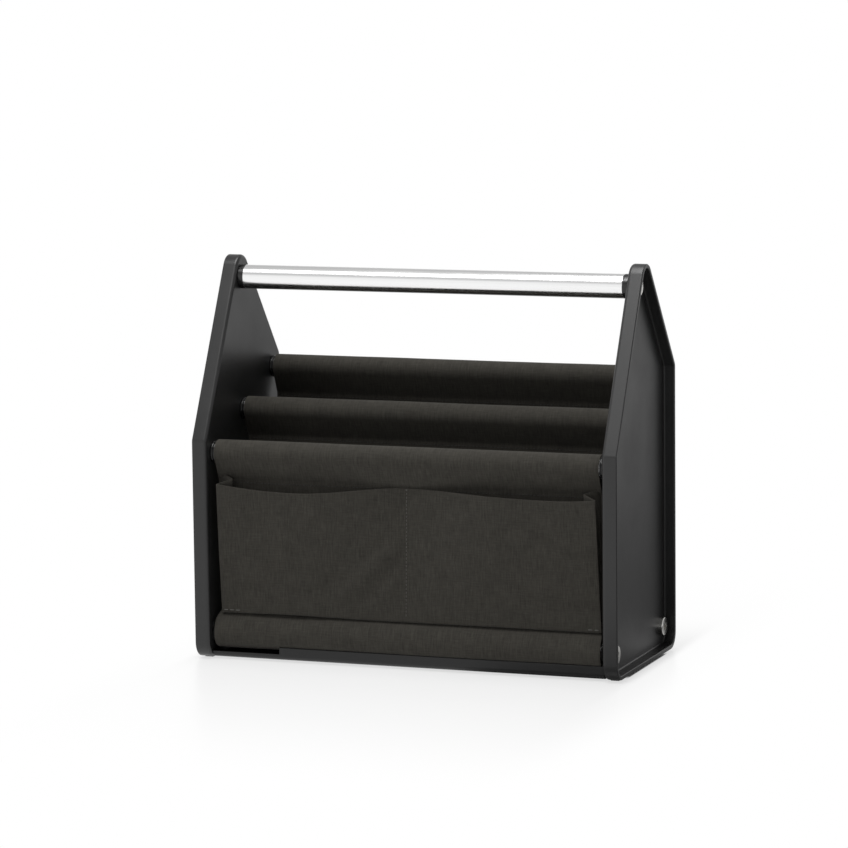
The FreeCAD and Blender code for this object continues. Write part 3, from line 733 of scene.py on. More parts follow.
TUBES = [
    ("handle_tube", "handle_plugs", HANDLE, HANDLE_RADIUS),
    ("front_top_rod", "front_rod_plugs", FRONT_ROD, ROD_RADIUS),
    ("middle_top_rod", "middle_rod_plugs", MIDDLE_ROD, ROD_RADIUS),
    ("rear_top_rod", "rear_rod_plugs", REAR_ROD, ROD_RADIUS),
    ("front_lower_tube", "front_tube_plugs", FRONT_TUBE, ROD_RADIUS),
    ("rear_lower_tube", "rear_tube_plugs", REAR_TUBE, ROD_RADIUS),
]
SPIGOT_PLAY = 0.1 * MM
BOLTS = [("handle", HANDLE, 8.0), ("front", FRONT_TUBE, 21.0), ("rear", REAR_TUBE, 47.0)]


def rim_edges(place, radius):
    """Test for edges round an axis along X at the given radius."""
    def on_rim(point):
        return near(math.hypot(point.y - place.y, point.z - place.z), radius)

    return lambda first, second: near(first.x, second.x) and on_rim(first) and on_rim(second)


def make_tube(name, radius, place, end, settings):
    """Drawn tube with broken edges and an open bore."""
    piece = add_rod(name, radius, -end, end, place)
    for label, side in SIDES:
        sink_face(piece, side * end, settings.wall, -side * settings.spigot)
    bevel_edges(piece, rim_edges(place, radius), settings.edge, 3)
    return finish(piece, 35)


def make_plug(name, side, radius, place, end, settings, grooved):
    """End plug: a ring against the panel, with a groove round it or plain, and a spigot in the tube."""
    first = PANEL_INNER - settings.groove_place if grooved else end
    piece = add_rod(name, radius, *sorted((side * PANEL_INNER, side * first)), place)
    if grooved:
        groove = settings.groove
        last = first - groove
        sink_face(piece, side * first, groove, -side * groove)
        pick(piece, "FACE", faces_at(side * last))
        extrude_along(0)
        grow = radius / (radius - groove)
        bpy.ops.transform.resize(value=(1, grow, grow), center_override=(side * last, place.y, place.z))
        extrude_along(side * (end - last))
        set_mode("OBJECT")
    sink_face(piece, side * end, settings.wall + SPIGOT_PLAY, -side * settings.spigot)
    bevel_edges(piece, rim_edges(place, radius), settings.ring_round, 4)
    return finish(piece, 35)


class CADDY_OT_tubes(bpy.types.Operator):
    """Make the handle, the rods and tubes and their end plugs"""
    bl_idname = "caddy.tubes"
    bl_label = "Tubes and Plugs"

    def execute(self, context):
        settings = context.scene.caddy_tubes
        bright = get_material("drawn_tube", drawn_metal, settings.aluminium, 0.2, 2600.0)
        black = get_material("gloss_plug", moulded_plastic, settings.black, 1800.0, 0.2, 0.00002)
        for node, plugs, place, radius in TUBES:
            grooved = node != "handle_tube"
            end = high(node).x - (0.0 if grooved else settings.collar)
            piece = make_tube(node + "_drawn", radius, place, end, settings)
            hand_over(piece, bright, "tube_aluminium", node)
            for label, side in SIDES:
                name = "%s_%s" % (plugs[:-1], label)
                ring = make_plug(name, side, radius, place, end, settings, grooved)
                hand_over(ring, black, "plug_black", plugs)
        return {"FINISHED"}


def make_bolt(name, settings):
    """Low round head with a hexagon socket, along +X from its seat at the origin."""
    top = settings.head_height
    piece = add_rod(name, settings.head_radius, 0, top, vertices=48)
    sink_face(piece, 0, settings.head_radius - settings.shank, -settings.shank_length)
    at_top = edges_at(top)
    bevel_edges(piece, at_top, settings.head_round, 4)
    reach = settings.key / 2 / math.cos(math.pi / 6)
    depth = settings.key_depth
    cut(piece, add_rod("hexagon_cutter", reach, top - depth, top + depth, vertices=6))

    def mouth(first, second):
        inside = max(point.yz.length for point in (first, second)) < settings.key
        return inside and at_top(first, second)

    bevel_edges(piece, mouth, settings.key_round, 2)
    return finish(piece, 35)


class CADDY_OT_bolts(bpy.types.Operator):
    """Make the frame bolts on the outer side of the panels"""
    bl_idname = "caddy.bolts"
    bl_label = "Frame Bolts"

    def execute(self, context):
        settings = context.scene.caddy_tubes
        seat = PANEL_INNER + context.scene.caddy_panels.wall
        nickel = get_material("plated_bolt", drawn_metal, settings.nickel, 0.16, 900.0)
        pattern = make_bolt("frame_bolt", settings)
        for label, place, turn in BOLTS:
            spin = Matrix.Rotation(math.radians(turn), 4, "X")
            for end, side in SIDES:
                bolt = link_object("%s_bolt_%s" % (label, end), pattern.data.copy())
                about = Matrix.Rotation(0 if side > 0 else math.pi, 4, "Z")
                bolt.data.transform(Matrix.Translation((side * seat, place.y, place.z)) @ about @ spin)
                hand_over(bolt, nickel, "bolt_nickel", "frame_bolts")
        bpy.data.objects.remove(pattern)
        return {"FINISHED"}


# Cloth

# A seam keeps the cloth flat; beside it the cloth puckers in short waves
CALM_REACH = 3 * MM
PUCKER_PLACE = 6 * MM
PUCKER_REACH = 5 * MM
PUCKER_WAVE = 21 * MM
PUCKER_RISE = 0.10 * MM
# Heights between which a wall becomes loose, and between which it narrows
ROLL_HEIGHTS = (46 * MM, 36 * MM)
WAIST_HEIGHTS = (120 * MM, 60 * MM)
# The divider's foot stands over the middle of the floor cloth by this many thicknesses
FOOT_REST = 1.25
FLAT_SPARE = 1.6 * MM
WALL_SLACK = 0.28 * MM
ROLL_SLACK = 0.35 * MM
DIVIDER_SLACK = 0.35 * MM
FLOOR_SLACK = 0.12 * MM


def chain(start, *legs):
    """Points along straight legs, each given by its end and its step, without the last end."""
    points = []
    for end, step in legs:
        count = max(1, math.ceil((end - start).length / step))
        points += [start.lerp(end, index / count) for index in range(count)]
        start = end
    return points


def tangent_angle(middle, radius, point, turn):
    """Angle of the point of a circle at which a line from an outer point touches it."""
    offset = point - middle
    return math.atan2(offset.y, offset.x) + turn * math.acos(radius / offset.length)


def sleeve(middle, radius, outside, start, end):
    """Round of a sleeve, from the side of start over the far side to the side of end.

    outside is +1 where the run is counter-clockwise as seen from +X, else -1.
    """
    first = tangent_angle(middle, radius, start, outside)
    last = tangent_angle(middle, radius, end, -outside)
    sweep = (last - first) * outside % (2 * math.pi) * outside
    return arc_points(middle, radius, first, first + sweep, math.radians(9))


def bezier(handles, count=14):
    """Points on a cubic curve, both ends included."""
    points = []
    for index in range(count + 1):
        share = index / count
        rest = 1 - share
        weights = [rest ** 3, 3 * share * rest ** 2, 3 * share ** 2 * rest, share ** 3]
        points.append(sum((handle * weight for handle, weight in zip(handles, weights)), Vector((0, 0))))
    return points


def roll_points(top, tube_at, settings):
    """Loose front of the lower sleeve: two curves, out from under the pocket and back over the tray's lip."""
    front = tube_at + Vector((-settings.roll_reach, 4 * MM))
    foot = tube_at - Vector((1 * MM, settings.roll_drop))
    out = [top, top - Vector((0, 6.3 * MM)), Vector((front.x + 2.4 * MM, top.y - 5 * MM)), front]
    back = [front, front - Vector((0.4 * MM, 9 * MM)), foot - Vector((10 * MM, -2.6 * MM)), foot]
    return bezier(out)[:-1] + bezier(back)


def wall_path(rod, tube, facing, settings):
    """Section of a hanging wall as (Y, Z): from its tail inside, over the rod, down, round the tube and up.

    facing is -1 for a wall that faces forwards and +1 for one that faces backwards. A wall without a tube
    ends at its upper seam. The height of the upper seam is returned too.
    """
    radius = ROD_RADIUS + settings.clearance + settings.thickness / 2
    inner = rod.y - facing * settings.thickness
    seam = rod.z - settings.upper_seam
    step, fine, tail = settings.step, settings.fine_step, Vector((0, settings.tail))
    join = Vector((inner, seam))
    hang = Vector((rod.y, seam))
    over = sleeve(rod.yz, radius, -facing, join, hang)
    points = chain(join - tail, (join, settings.tail_step), (over[0], step)) + over
    points += chain(over[-1], (hang, step))[1:]
    if tube is None:
        return points, seam
    low_seam = tube.z + settings.lower_seam
    stand = Vector((rod.y, low_seam))
    join = Vector((inner, low_seam))
    points += chain(hang, (hang - tail, fine), (stand + tail, step), (stand, fine))
    under = sleeve(tube.yz, radius, -facing, stand, join)
    if facing < 0:
        top = Vector((rod.y, tube.z + settings.roll_top))
        points += chain(stand, (top, step)) + roll_points(top, tube.yz, settings)
        under = [point for point in under if point.x > tube.y + 0.8 * radius]
        points += chain(points[-1], (under[0], step))[1:]
    else:
        points += chain(stand, (under[0], step))
    points += under + chain(under[-1], (join, step))[1:]
    points += chain(join, (join + tail, settings.tail_step)) + [join + tail]
    return points, seam


def divider_path(settings):
    """Section of the divider: a wall without a tube, with its foot turned back on the floor."""
    path, seam = wall_path(MIDDLE_ROD, None, -1, settings)
    bend = settings.bend
    tail = Vector((0, settings.tail))
    hang = Vector((MIDDLE_ROD.y, seam))
    foot = Vector((MIDDLE_ROD.y, FLOOR_CLOTH_LEVEL + FOOT_REST * settings.thickness + bend))
    turn = foot + Vector((bend, 0))
    path += chain(hang, (hang - tail, settings.fine_step), (foot, settings.step))
    path += arc_points(turn, bend, math.pi, 1.5 * math.pi, math.radians(15))
    path.append(turn + Vector((settings.tail, -bend)))
    return path, seam


def run_lengths(points):
    """Distance of each point along the path from its start."""
    lengths = [0.0]
    for first, second in zip(points, points[1:]):
        lengths.append(lengths[-1] + (second - first).length)
    return lengths


def seam_runs(path, heights):
    """Distances along the path at which it passes the given heights on its flat stretch."""
    lengths = run_lengths(path)
    flat = [index for index, point in enumerate(path) if near(point.x, path[0].x, FLAT_SPARE)]
    return [min((abs(path[index].y - height), lengths[index]) for index in flat)[1] for height in heights]


def make_sheet(name, sections, thickness):
    """Sheet from rows of (place, flat place), with a map in metres of its flat places, thickened."""
    columns = len(sections[0])
    deselect()
    bpy.ops.mesh.primitive_grid_add(x_subdivisions=columns - 1, y_subdivisions=len(sections) - 1, size=1.0)
    piece = take(name)
    flat = []
    for row, section in enumerate(sections):
        for column, (place, spot) in enumerate(section):
            piece.data.vertices[row * columns + column].co = place
            flat.append(spot)
    piece.data.uv_layers[0].name = "cloth"
    corners = piece.data.uv_layers["cloth"].data
    for loop in piece.data.loops:
        corners[loop.index].uv = flat[loop.vertex_index]
    put_modifier(piece, "SOLIDIFY", thickness=thickness, offset=0.0, use_even_offset=True)
    put_modifier(piece, "BEVEL", width=thickness * 0.22, segments=2, limit_method="ANGLE",
                 angle_limit=math.radians(60))
    smooth(piece, 50, weighted=False)
    return piece


def ripple(x, along, seed):
    """Soft unevenness of cloth, between about -1 and 1, from noise of two sizes in waves per metre."""
    broad = noise.noise(Vector((x * 9.0, along * 14.0, seed)))
    return broad + 0.5 * noise.noise(Vector((x * 23.0, along * 31.0, seed)))


def step_between(value, start, end):
    """Smooth step from 0 at start to 1 at end."""
    share = max(0.0, min(1.0, (value - start) / (end - start)))
    return share * share * (3 - 2 * share)


def hang_sheet(name, path, settings, seams, seed, slack, loose=0.0):
    """Sheet along a path of (Y, Z) points, uneven by a fraction of a millimetre, flat along its seams.

    loose is the unevenness that is added towards the lower sleeve, where the sheet also widens. The length of
    the path is returned with the sheet.
    """
    columns = math.ceil(2 * CLOTH_HALF / settings.step)
    lengths = run_lengths(path)
    sections = []
    for row, point in enumerate(path):
        along = (path[min(row + 1, len(path) - 1)] - path[max(row - 1, 0)]).normalized()
        out = Vector((-along.y, along.x))
        gaps = [abs(lengths[row] - seam) for seam in seams]
        calm = math.prod(1.0 - math.exp(-(gap / CALM_REACH) ** 2) for gap in gaps)
        pucker = sum(math.exp(-((gap - PUCKER_PLACE) / PUCKER_REACH) ** 2) for gap in gaps)
        share = step_between(point.y, *ROLL_HEIGHTS) if loose else 0.0
        narrow = step_between(point.y, *WAIST_HEIGHTS) * (1 - share) if loose else 0.0
        wide = CLOTH_HALF + settings.spread * share - settings.waist * narrow
        section = []
        for column in range(columns + 1):
            x = wide * (2 * column / columns - 1)
            drift = 2.0 * noise.noise(Vector((x * 14.0, seed, 0.0)))
            wave = math.sin(2 * math.pi * x / PUCKER_WAVE + drift)
            lift = (slack + loose * share) * calm * ripple(x, lengths[row], seed)
            lift += PUCKER_RISE * calm * pucker * wave
            place = point + out * lift
            section.append(((x, place.x, place.y), (x, lengths[row])))
        sections.append(section)
    return make_sheet(name, sections, settings.thickness), lengths[-1]


class CADDY_OT_walls(bpy.types.Operator):
    """Make the canvas walls, the divider and the floor"""
    bl_idname = "caddy.walls"
    bl_label = "Canvas Walls"

    def execute(self, context):
        settings = context.scene.caddy_cloth
        line = settings.stitch_line
        cloth = get_material("wall_canvas", canvas, settings, 1.0)
        walls = [
            ("front_wall_sheet", "front_wall_cloth", FRONT_ROD, FRONT_TUBE, -1, 1.0),
            ("rear_wall_sheet", "rear_wall_cloth", REAR_ROD, REAR_TUBE, 1, 7.0),
        ]
        for name, node, rod, tube, facing, seed in walls:
            path, seam = wall_path(rod, tube, facing, settings)
            seams = seam_runs(path, [seam - line, tube.z + settings.lower_seam + line])
            piece, run = hang_sheet(name, path, settings, seams, seed, WALL_SLACK, ROLL_SLACK)
            hand_over(piece, cloth, "canvas", node)

        path, seam = divider_path(settings)
        seams = seam_runs(path, [seam - line])
        piece, run = hang_sheet("divider_sheet", path, settings, seams, 4.0, DIVIDER_SLACK)
        hand_over(piece, cloth, "canvas", "divider_cloth")

        end = Vector((FLOOR_CLOTH_HALF, FLOOR_CLOTH_LEVEL))
        path = chain(Vector((-end.x, end.y)), (end, settings.step)) + [end]
        piece, run = hang_sheet("floor_sheet", path, settings, [], 9.0, FLOOR_SLACK)
        hand_over(piece, cloth, "canvas", "floor_cloth")
        return {"FINISHED"}


# Pocket

# Ridges in the pocket's face in mm: X and Z of both ends, width and height
CREASES = [
    (-60, 62, -6, 113, 8.5, 3.0),
    (-96, 60, -40, 86, 7.0, -1.3),
    (-30, 56, -4, 84, 6.0, 1.6),
    (26, 120, 70, 78, 8.0, 0.55),
    (-150, 120, -118, 150, 9.0, -0.5),
    (110, 60, 150, 96, 9.0, 0.45),
]
# Slack places of its lower edge in mm, X and width, with their share
SLACKS = [(-112, 48, 1.0), (90, 60, 0.35)]
SLACK_REACH = 1.6 * MM
SLACK_RISE = 1.2 * MM
FOOT_GAP = 0.6 * MM
SEAM_CALM = 9 * MM
BOW_START = 45 * MM
EDGE_CALM = 26 * MM
POCKET_RIPPLE = 0.3 * MM
POCKET_COLUMNS = 150
POCKET_ROWS = 56
GUSSET_ROWS = 34
# A gusset's edge from that of the pocket, its back and its cloth in thicknesses, and where its fold rounds
GUSSET_INSET = 0.5 * MM
GUSSET_BACK = 1.05
GUSSET_CLOTH = 0.9
FOLD_START = 0.88
LEG_POINTS = 6


def dipped(share, dip, start, middle, end):
    """Value of a smooth curve that leaves start level, reaches middle at the dip and rises to end."""
    if share < dip:
        return start + (middle - start) * step_between(share, 0.0, dip)
    return middle + (end - middle) * ((share - dip) / (1 - dip)) ** 2


def pocket_top(x, settings):
    """Upper edge of the pocket at X: mid-cloth Y and Z."""
    share = abs(x) / settings.top_half
    reach = dipped(share, 0.5, settings.seam_reach, settings.sag_reach, settings.corner_reach)
    dip, sag = (settings.right_dip, settings.right_sag) if x > 0 else (settings.left_dip, settings.left_sag)
    z = dipped(share, dip, settings.centre_height, sag, settings.corner_height)
    return Vector((FRONT_ROD.y - reach, z))


def pocket_side(side, rise, settings):
    """Distance of the pocket's side edge from the middle, for a rise of 0 at its foot and 1 at its brim."""
    lower = POCKET_HALF + (settings.right_lower if side > 0 else settings.left_lower)
    upper = settings.top_half + (settings.right_upper if side > 0 else settings.left_upper)
    return lower + (upper - lower) * rise


def pocket_foot(x, settings):
    """Lower edge of the pocket at X: mid-cloth Y and Z of the front of its fold."""
    slack = sum(share * math.exp(-((x / MM - middle) / width) ** 2) for middle, width, share in SLACKS)
    return Vector((FRONT_ROD.y - settings.lower_reach - SLACK_REACH * slack,
                   POCKET_LOW + settings.fold + FOOT_GAP + SLACK_RISE * slack))


def crease(x, z):
    """Soft folds of the pocket, outwards."""
    place = Vector((x, z)) / MM
    lift = 0.0
    for x0, z0, x1, z1, width, rise in CREASES:
        start = Vector((x0, z0))
        run = Vector((x1, z1)) - start
        share = max(0.0, min(1.0, (place - start).dot(run) / run.length_squared))
        gap = (place - start - run * share).length
        lift += rise * math.exp(-(gap / width) ** 2) * math.sin(math.pi * (0.1 + 0.8 * share))
    return lift * MM


def pocket_section(x, settings):
    """Section of the pocket at X: allowance behind, folded lower edge, then up to the brim."""
    foot = pocket_foot(x, settings)
    brim = pocket_top(x, settings)
    fold = settings.fold
    behind = foot + Vector((2 * fold, 0))
    points = chain(behind + Vector((0, settings.allowance)), (behind, settings.allowance / 4))
    points += arc_points(foot + Vector((fold, 0)), fold, 0.0, -math.pi, math.radians(22.5))
    for row in range(1, POCKET_ROWS + 1):
        share = row / POCKET_ROWS
        place = foot.lerp(brim, share)
        belly = math.sin(math.pi * share)
        calm = min(1.0, abs(x) / SEAM_CALM) * belly ** 0.5
        bow = settings.bow * belly * min(1.0, abs(x) / BOW_START)
        edge = max(0.0, 1.0 - (POCKET_HALF - abs(x)) / EDGE_CALM)
        lift = crease(x, place.y) * calm + bow * (1.0 - 0.8 * edge)
        lift += POCKET_RIPPLE * ripple(x, place.y, 3.0) * calm
        points.append(place - Vector((lift, 0)))
    return points


def make_pocket(name, settings, cloth):
    """Pocket with its two halves: returns the piece and its greatest length up the cloth."""
    columns = []
    runs = []
    for column in range(POCKET_COLUMNS + 1):
        share = 2 * column / POCKET_COLUMNS - 1
        points = pocket_section(share * settings.top_half, settings)
        lengths = run_lengths(points)
        runs.append(lengths[-1])
        entries = []
        for point, run in zip(points, lengths):
            rise = (point.y - POCKET_LOW) / (settings.centre_height - POCKET_LOW)
            x = share * pocket_side(share, max(0.0, min(1.0, rise)), settings)
            entries.append(((x, point.x, point.y), (x, run)))
        columns.append(entries)
    return make_sheet(name, list(zip(*columns)), cloth.thickness), max(runs)


def gusset_section(height, side, settings, cloth):
    """Plan of a gusset at one height: from the pocket's edge into the fold and back to the wall."""
    foot = pocket_foot(side * settings.top_half, settings)
    brim = pocket_top(side * settings.top_half, settings)
    share = (height - foot.y) / (brim.y - foot.y)
    x = pocket_side(side, share, settings) - GUSSET_INSET
    front = foot.x + (brim.x - foot.x) * share + cloth.thickness
    back = FRONT_ROD.y - GUSSET_BACK * cloth.thickness
    fold = Vector((x - (back - front), (front + back) / 2))
    near_leg = Vector((x, front))
    far_leg = Vector((x, back))
    first = near_leg.lerp(fold, FOLD_START)
    last = far_leg.lerp(fold, FOLD_START)
    shares = [index / LEG_POINTS for index in range(LEG_POINTS + 1)]
    points = [near_leg.lerp(first, share) for share in shares[:-1]]
    points += [first.lerp(fold, share).lerp(fold.lerp(last, share), share) for share in shares]
    points += [last.lerp(far_leg, share) for share in shares[1:]]
    return [Vector((side * point.x, point.y)) for point in points]


def make_gusset(name, side, settings, cloth):
    """Folded gusset: returns the piece, its width along the fold at the brim and its height."""
    top = pocket_top(side * settings.top_half, settings).y
    sections = []
    for row in range(GUSSET_ROWS + 1):
        share = row / GUSSET_ROWS
        height = settings.gusset_low + (top - settings.gusset_low) * share
        points = gusset_section(height, side, settings, cloth)
        lengths = run_lengths(points)
        section = []
        for point, run in zip(points, lengths):
            z = height + settings.gusset_rise * share * run / lengths[-1]
            section.append(((point.x, point.y, z), (run, z)))
        sections.append(section)
    piece = make_sheet(name, sections, cloth.thickness * GUSSET_CLOTH)
    return piece, lengths[-1], top - settings.gusset_low


class CADDY_OT_pocket(bpy.types.Operator):
    """Make the front pocket and its two gussets"""
    bl_idname = "caddy.pocket"
    bl_label = "Front Pocket"

    def execute(self, context):
        settings = context.scene.caddy_pocket
        cloth = context.scene.caddy_cloth
        # The pocket's canvas is the walls' canvas darkened: painted shade, not a different cloth
        material = get_material("pocket_canvas", canvas, cloth, cloth.pocket_level)
        piece, run = make_pocket("pocket_sheet", settings, cloth)
        hand_over(piece, material, "canvas", "pocket_panel")
        for label, side in SIDES:
            node = "pocket_gusset_" + label
            gusset, wide, tall = make_gusset(node + "_sheet", side, settings, cloth)
            hand_over(gusset, material, "canvas", node)
        return {"FINISHED"}


# Stitching

# Shape of a stitch in shares of its thread: thinner ends, their dive and the height of its axis
STITCH_SLIM = 0.85
STITCH_DIVE = 1.1
STITCH_RISE = 0.35
CENTRE_TACKS = (("upper", 1.0 * MM), ("lower", 2.0 * MM))
CORNER_TACKS = (19 * MM, 14 * MM)
TACK_INSET = 0.6 * MM
TACK_RISE = 1.0 * MM


def make_stitch(name, thread, stitch):
    """One stitch along X: a thread that dives into the cloth at both ends."""
    half = stitch / 2
    piece = add_rod(name, thread, -half, half, vertices=8)
    pick(piece, "EDGE", lambda first, second: not near(first.x, second.x))
    bpy.ops.mesh.subdivide(number_cuts=3)
    set_mode("OBJECT")
    for vertex in piece.data.vertices:
        share = abs(vertex.co.x) / half
        slim = math.sqrt(max(0.0, 1.0 - STITCH_SLIM * share ** 4))
        vertex.co.y *= slim
        vertex.co.z = vertex.co.z * slim - STITCH_DIVE * thread * share ** 3
    outward(piece)
    return piece


def sew(name, pattern, start, end, out, thread, pitch, material):
    """Row of stitches from start to end on a face that looks along out."""
    along = (end - start).normalized()
    side = out.cross(along).normalized()
    count = int((end - start).length / pitch)
    spare = (end - start).length - (count - 1) * pitch
    row = link_object(name, pattern.data.copy())
    put_modifier(row, "ARRAY", count=count, use_relative_offset=False, use_constant_offset=True,
                 constant_offset_displace=(pitch, 0, 0))
    turn = Matrix((along, side, out)).transposed().to_4x4()
    begin = start + along * spare / 2 + out * thread * STITCH_RISE
    row.data.transform(Matrix.Translation(begin) @ turn)
    smooth(row, 60, weighted=False)
    hand_over(row, material, "canvas")


def sleeve_seams(cloth):
    """Name, Y, Z and facing of every row of stitches along a sleeve."""
    half = cloth.thickness / 2
    rows = []
    for label, rod, facing in (("front", FRONT_ROD, -1), ("middle", MIDDLE_ROD, -1), ("rear", REAR_ROD, 1)):
        level = rod.z - cloth.upper_seam - cloth.stitch_line
        rows.append((label + "_upper_seam_outside", rod.y + facing * half, level, facing))
        rows.append((label + "_upper_seam_inside", rod.y - facing * 3 * half, level, -facing))
    for label, tube, facing in (("front", FRONT_TUBE, -1), ("rear", REAR_TUBE, 1)):
        level = tube.z + cloth.lower_seam + cloth.stitch_line
        rows.append((label + "_lower_seam_inside", tube.y - facing * 3 * half, level, -facing))
        if label == "rear":
            rows.append((label + "_lower_seam_outside", tube.y + facing * half, level, facing))
    return rows


class CADDY_OT_stitching(bpy.types.Operator):
    """Sew the seams of the sleeves, the centre seam of the pocket and its corner tacks"""
    bl_idname = "caddy.stitching"
    bl_label = "Stitching"

    def execute(self, context):
        settings = context.scene.caddy_stitches
        cloth = context.scene.caddy_cloth
        pocket = context.scene.caddy_pocket
        thread = get_material("sewing_thread", sewing_thread, settings.tint)
        quiet = get_material("quiet_thread", sewing_thread, settings.quiet)
        pattern = make_stitch("stitch", settings.thread, settings.stitch)
        stroke = make_stitch("stroke", settings.tack_thread, settings.tack_stitch)
        half = cloth.thickness / 2
        end = CLOTH_HALF - settings.inset
        gauge = (settings.thread, settings.pitch, quiet)
        for name, y, z, facing in sleeve_seams(cloth):
            sew(name, pattern, Vector((-end, y, z)), Vector((end, y, z)), Vector((0, facing, 0)), *gauge)

        foot = pocket_foot(0.0, pocket).to_3d().zxy
        brim = pocket_top(0.0, pocket).to_3d().zxy
        rise = (brim - foot).normalized()
        out = Vector((0, -rise.z, rise.y))
        start = foot + rise * settings.inset + out * half
        stop = brim - rise * settings.inset + out * half
        gauge = (settings.thread, settings.pitch, thread)
        sew("pocket_centre_seam", pattern, start, stop, out, *gauge)
        reach = Vector((settings.inset, 0, 0))
        for label, drop in CENTRE_TACKS:
            middle = brim - rise * drop + out * half
            sew("pocket_centre_tack_" + label, pattern, middle - reach, middle + reach, out, *gauge)

        out = Vector((0, -1, 0))
        gauge = (settings.tack_thread, settings.tack_pitch, thread)
        for (label, side), reach in zip(SIDES, CORNER_TACKS):
            ends = []
            corner = pocket_side(side, 0.0, pocket)
            for x in (corner - TACK_INSET, corner - reach):
                foot = pocket_foot(side * x, pocket)
                ends.append(Vector((side * x, foot.x - half, foot.y + TACK_RISE)))
            sew("pocket_corner_tack_" + label, stroke, *ends, out, *gauge)
        bpy.data.objects.remove(pattern)
        bpy.data.objects.remove(stroke)
        return {"FINISHED"}


# Base tray and feet

# Width of a notch's cutter in thicknesses of the lip
CUTTER_WIDTH = 2.4


def make_tray(name, settings):
    """Shallow tray drawn along X, with a notch cut into each lip."""
    front, back = low("base_tray").y, high("base_tray").y
    floor, rim = low("base_tray").z + settings.lift, high("base_tray").z
    end = PANEL_INNER - settings.end_gap
    inner = back - settings.lip
    top = floor + settings.plate
    corners = [
        (front, floor), (back, floor), (back, rim), (inner, rim),
        (inner, top), (-inner, top), (-inner, rim), (front, rim),
    ]
    lip_round, inner_round = [settings.lip_round] * 2, [settings.inner_round] * 2
    radii = [settings.edge_round] * 2 + lip_round + inner_round + lip_round
    piece = draw_out(name, rounded_outline(corners, radii), -end, end)
    for label, side in (("front", -1), ("rear", 1)):
        middle = side * (settings.notch_start + settings.notch_length / 2)
        level = rim - settings.notch_depth + rim / 2
        size = (settings.notch_length, CUTTER_WIDTH * settings.lip, rim)
        cut(piece, add_box("notch_cutter_" + label, (middle, side * (back - settings.lip / 2), level), size))
    put_modifier(piece, "BEVEL", width=settings.end_round, segments=2, limit_method="ANGLE",
                 angle_limit=math.radians(50))
    return finish(piece)


class CADDY_OT_tray(bpy.types.Operator):
    """Make the base tray and the feet"""
    bl_idname = "caddy.tray"
    bl_label = "Tray and Feet"

    def execute(self, context):
        settings = context.scene.caddy_tray
        plastic = get_material("moulded_tray", moulded_plastic, settings.tint, 2600.0, 0.4, 0.00004, 0.36)
        rubber = get_material("rubber_pad", moulded_plastic, settings.rubber, 1600.0, 0.75, 0.0001)
        hand_over(make_tray("base_tray_moulding", settings), plastic, "tray_black", "base_tray")
        for node in ("front_left_foot", "front_right_foot", "rear_left_foot", "rear_right_foot"):
            piece = add_box(node + "_pad", centre(node), high(node) - low(node))
            put_modifier(piece, "BEVEL", width=settings.foot_round, segments=3)
            smooth(piece)
            hand_over(piece, rubber, "foot_rubber", node)
        return {"FINISHED"}


# Stage

RIGHT_SIDE = (0.94, -0.34, 0.0)
RIGHT_OF_FLOOR = (0.95, -0.31, 0.0)
CONTACT_DEPTH = 40 * MM
CONTACT_SCALE = (2.0, 0.14, 1.0)
LAMP_AIM = Vector((0, 0, 0.2))


def view_axis(heading, rise):
    """Direction towards the camera for a heading to the right of the front and a rise over the level."""
    return Vector((math.sin(heading) * math.cos(rise), -math.cos(heading) * math.cos(rise), math.sin(rise)))


def make_camera(settings):
    """Camera at the photograph's angle."""
    back = view_axis(settings.heading, settings.tilt)
    level = Vector((math.cos(settings.heading), math.sin(settings.heading), 0))
    up = back.cross(level)
    right = level * math.cos(settings.roll) + up * math.sin(settings.roll)
    top = up * math.cos(settings.roll) - level * math.sin(settings.roll)
    camera = link_object("camera", bpy.data.cameras.new("camera"))
    place = Vector((0, 0, settings.aim)) + view_axis(settings.azimuth, settings.elevation) * settings.distance
    camera.matrix_world = Matrix.Translation(place) @ Matrix((right, top, back)).transposed().to_4x4()
    camera.data.sensor_width = 36.0
    camera.data.lens = settings.lens
    camera.data.clip_end = 50.0
    bpy.context.scene.camera = camera


def add_softbox(name, place, size, power):
    light = bpy.data.lights.new(name, "AREA")
    light.shape = "RECTANGLE"
    light.size, light.size_y = size
    light.energy = power
    lamp = link_object(name, light)
    lamp.location = place
    lamp.rotation_euler = (LAMP_AIM - Vector(place)).to_track_quat("-Z", "Y").to_euler()


def make_world():
    """White to the camera; to the object a bright horizon, a greyer ceiling and a dark right side."""
    world = bpy.data.worlds.new("studio")
    bpy.context.scene.world = world
    world.use_nodes = True
    tree = world.node_tree
    path = add_node(tree, "LightPath").outputs
    way = add_node(tree, "TexCoord").outputs["Generated"]
    horizon = smooth_ramp(tree, axes(tree, way)[2], 0.20, 0.58, 1.0, 0.52)
    right = smooth_ramp(tree, vector_maths(tree, "DOT_PRODUCT", way, RIGHT_SIDE), 0.03, 0.32, 1.0, 0.22)
    shiny = mix(tree, path["Is Glossy Ray"], right, 0.75)
    level = maths(tree, "MULTIPLY", horizon, maths(tree, "MAXIMUM", right, shiny))
    seen = maths(tree, "MAXIMUM", path["Is Camera Ray"], path["Is Transmission Ray"])
    feed(tree, tree.nodes["Background"], {"Color": WHITE, "Strength": mix(tree, seen, level, 1.0)})


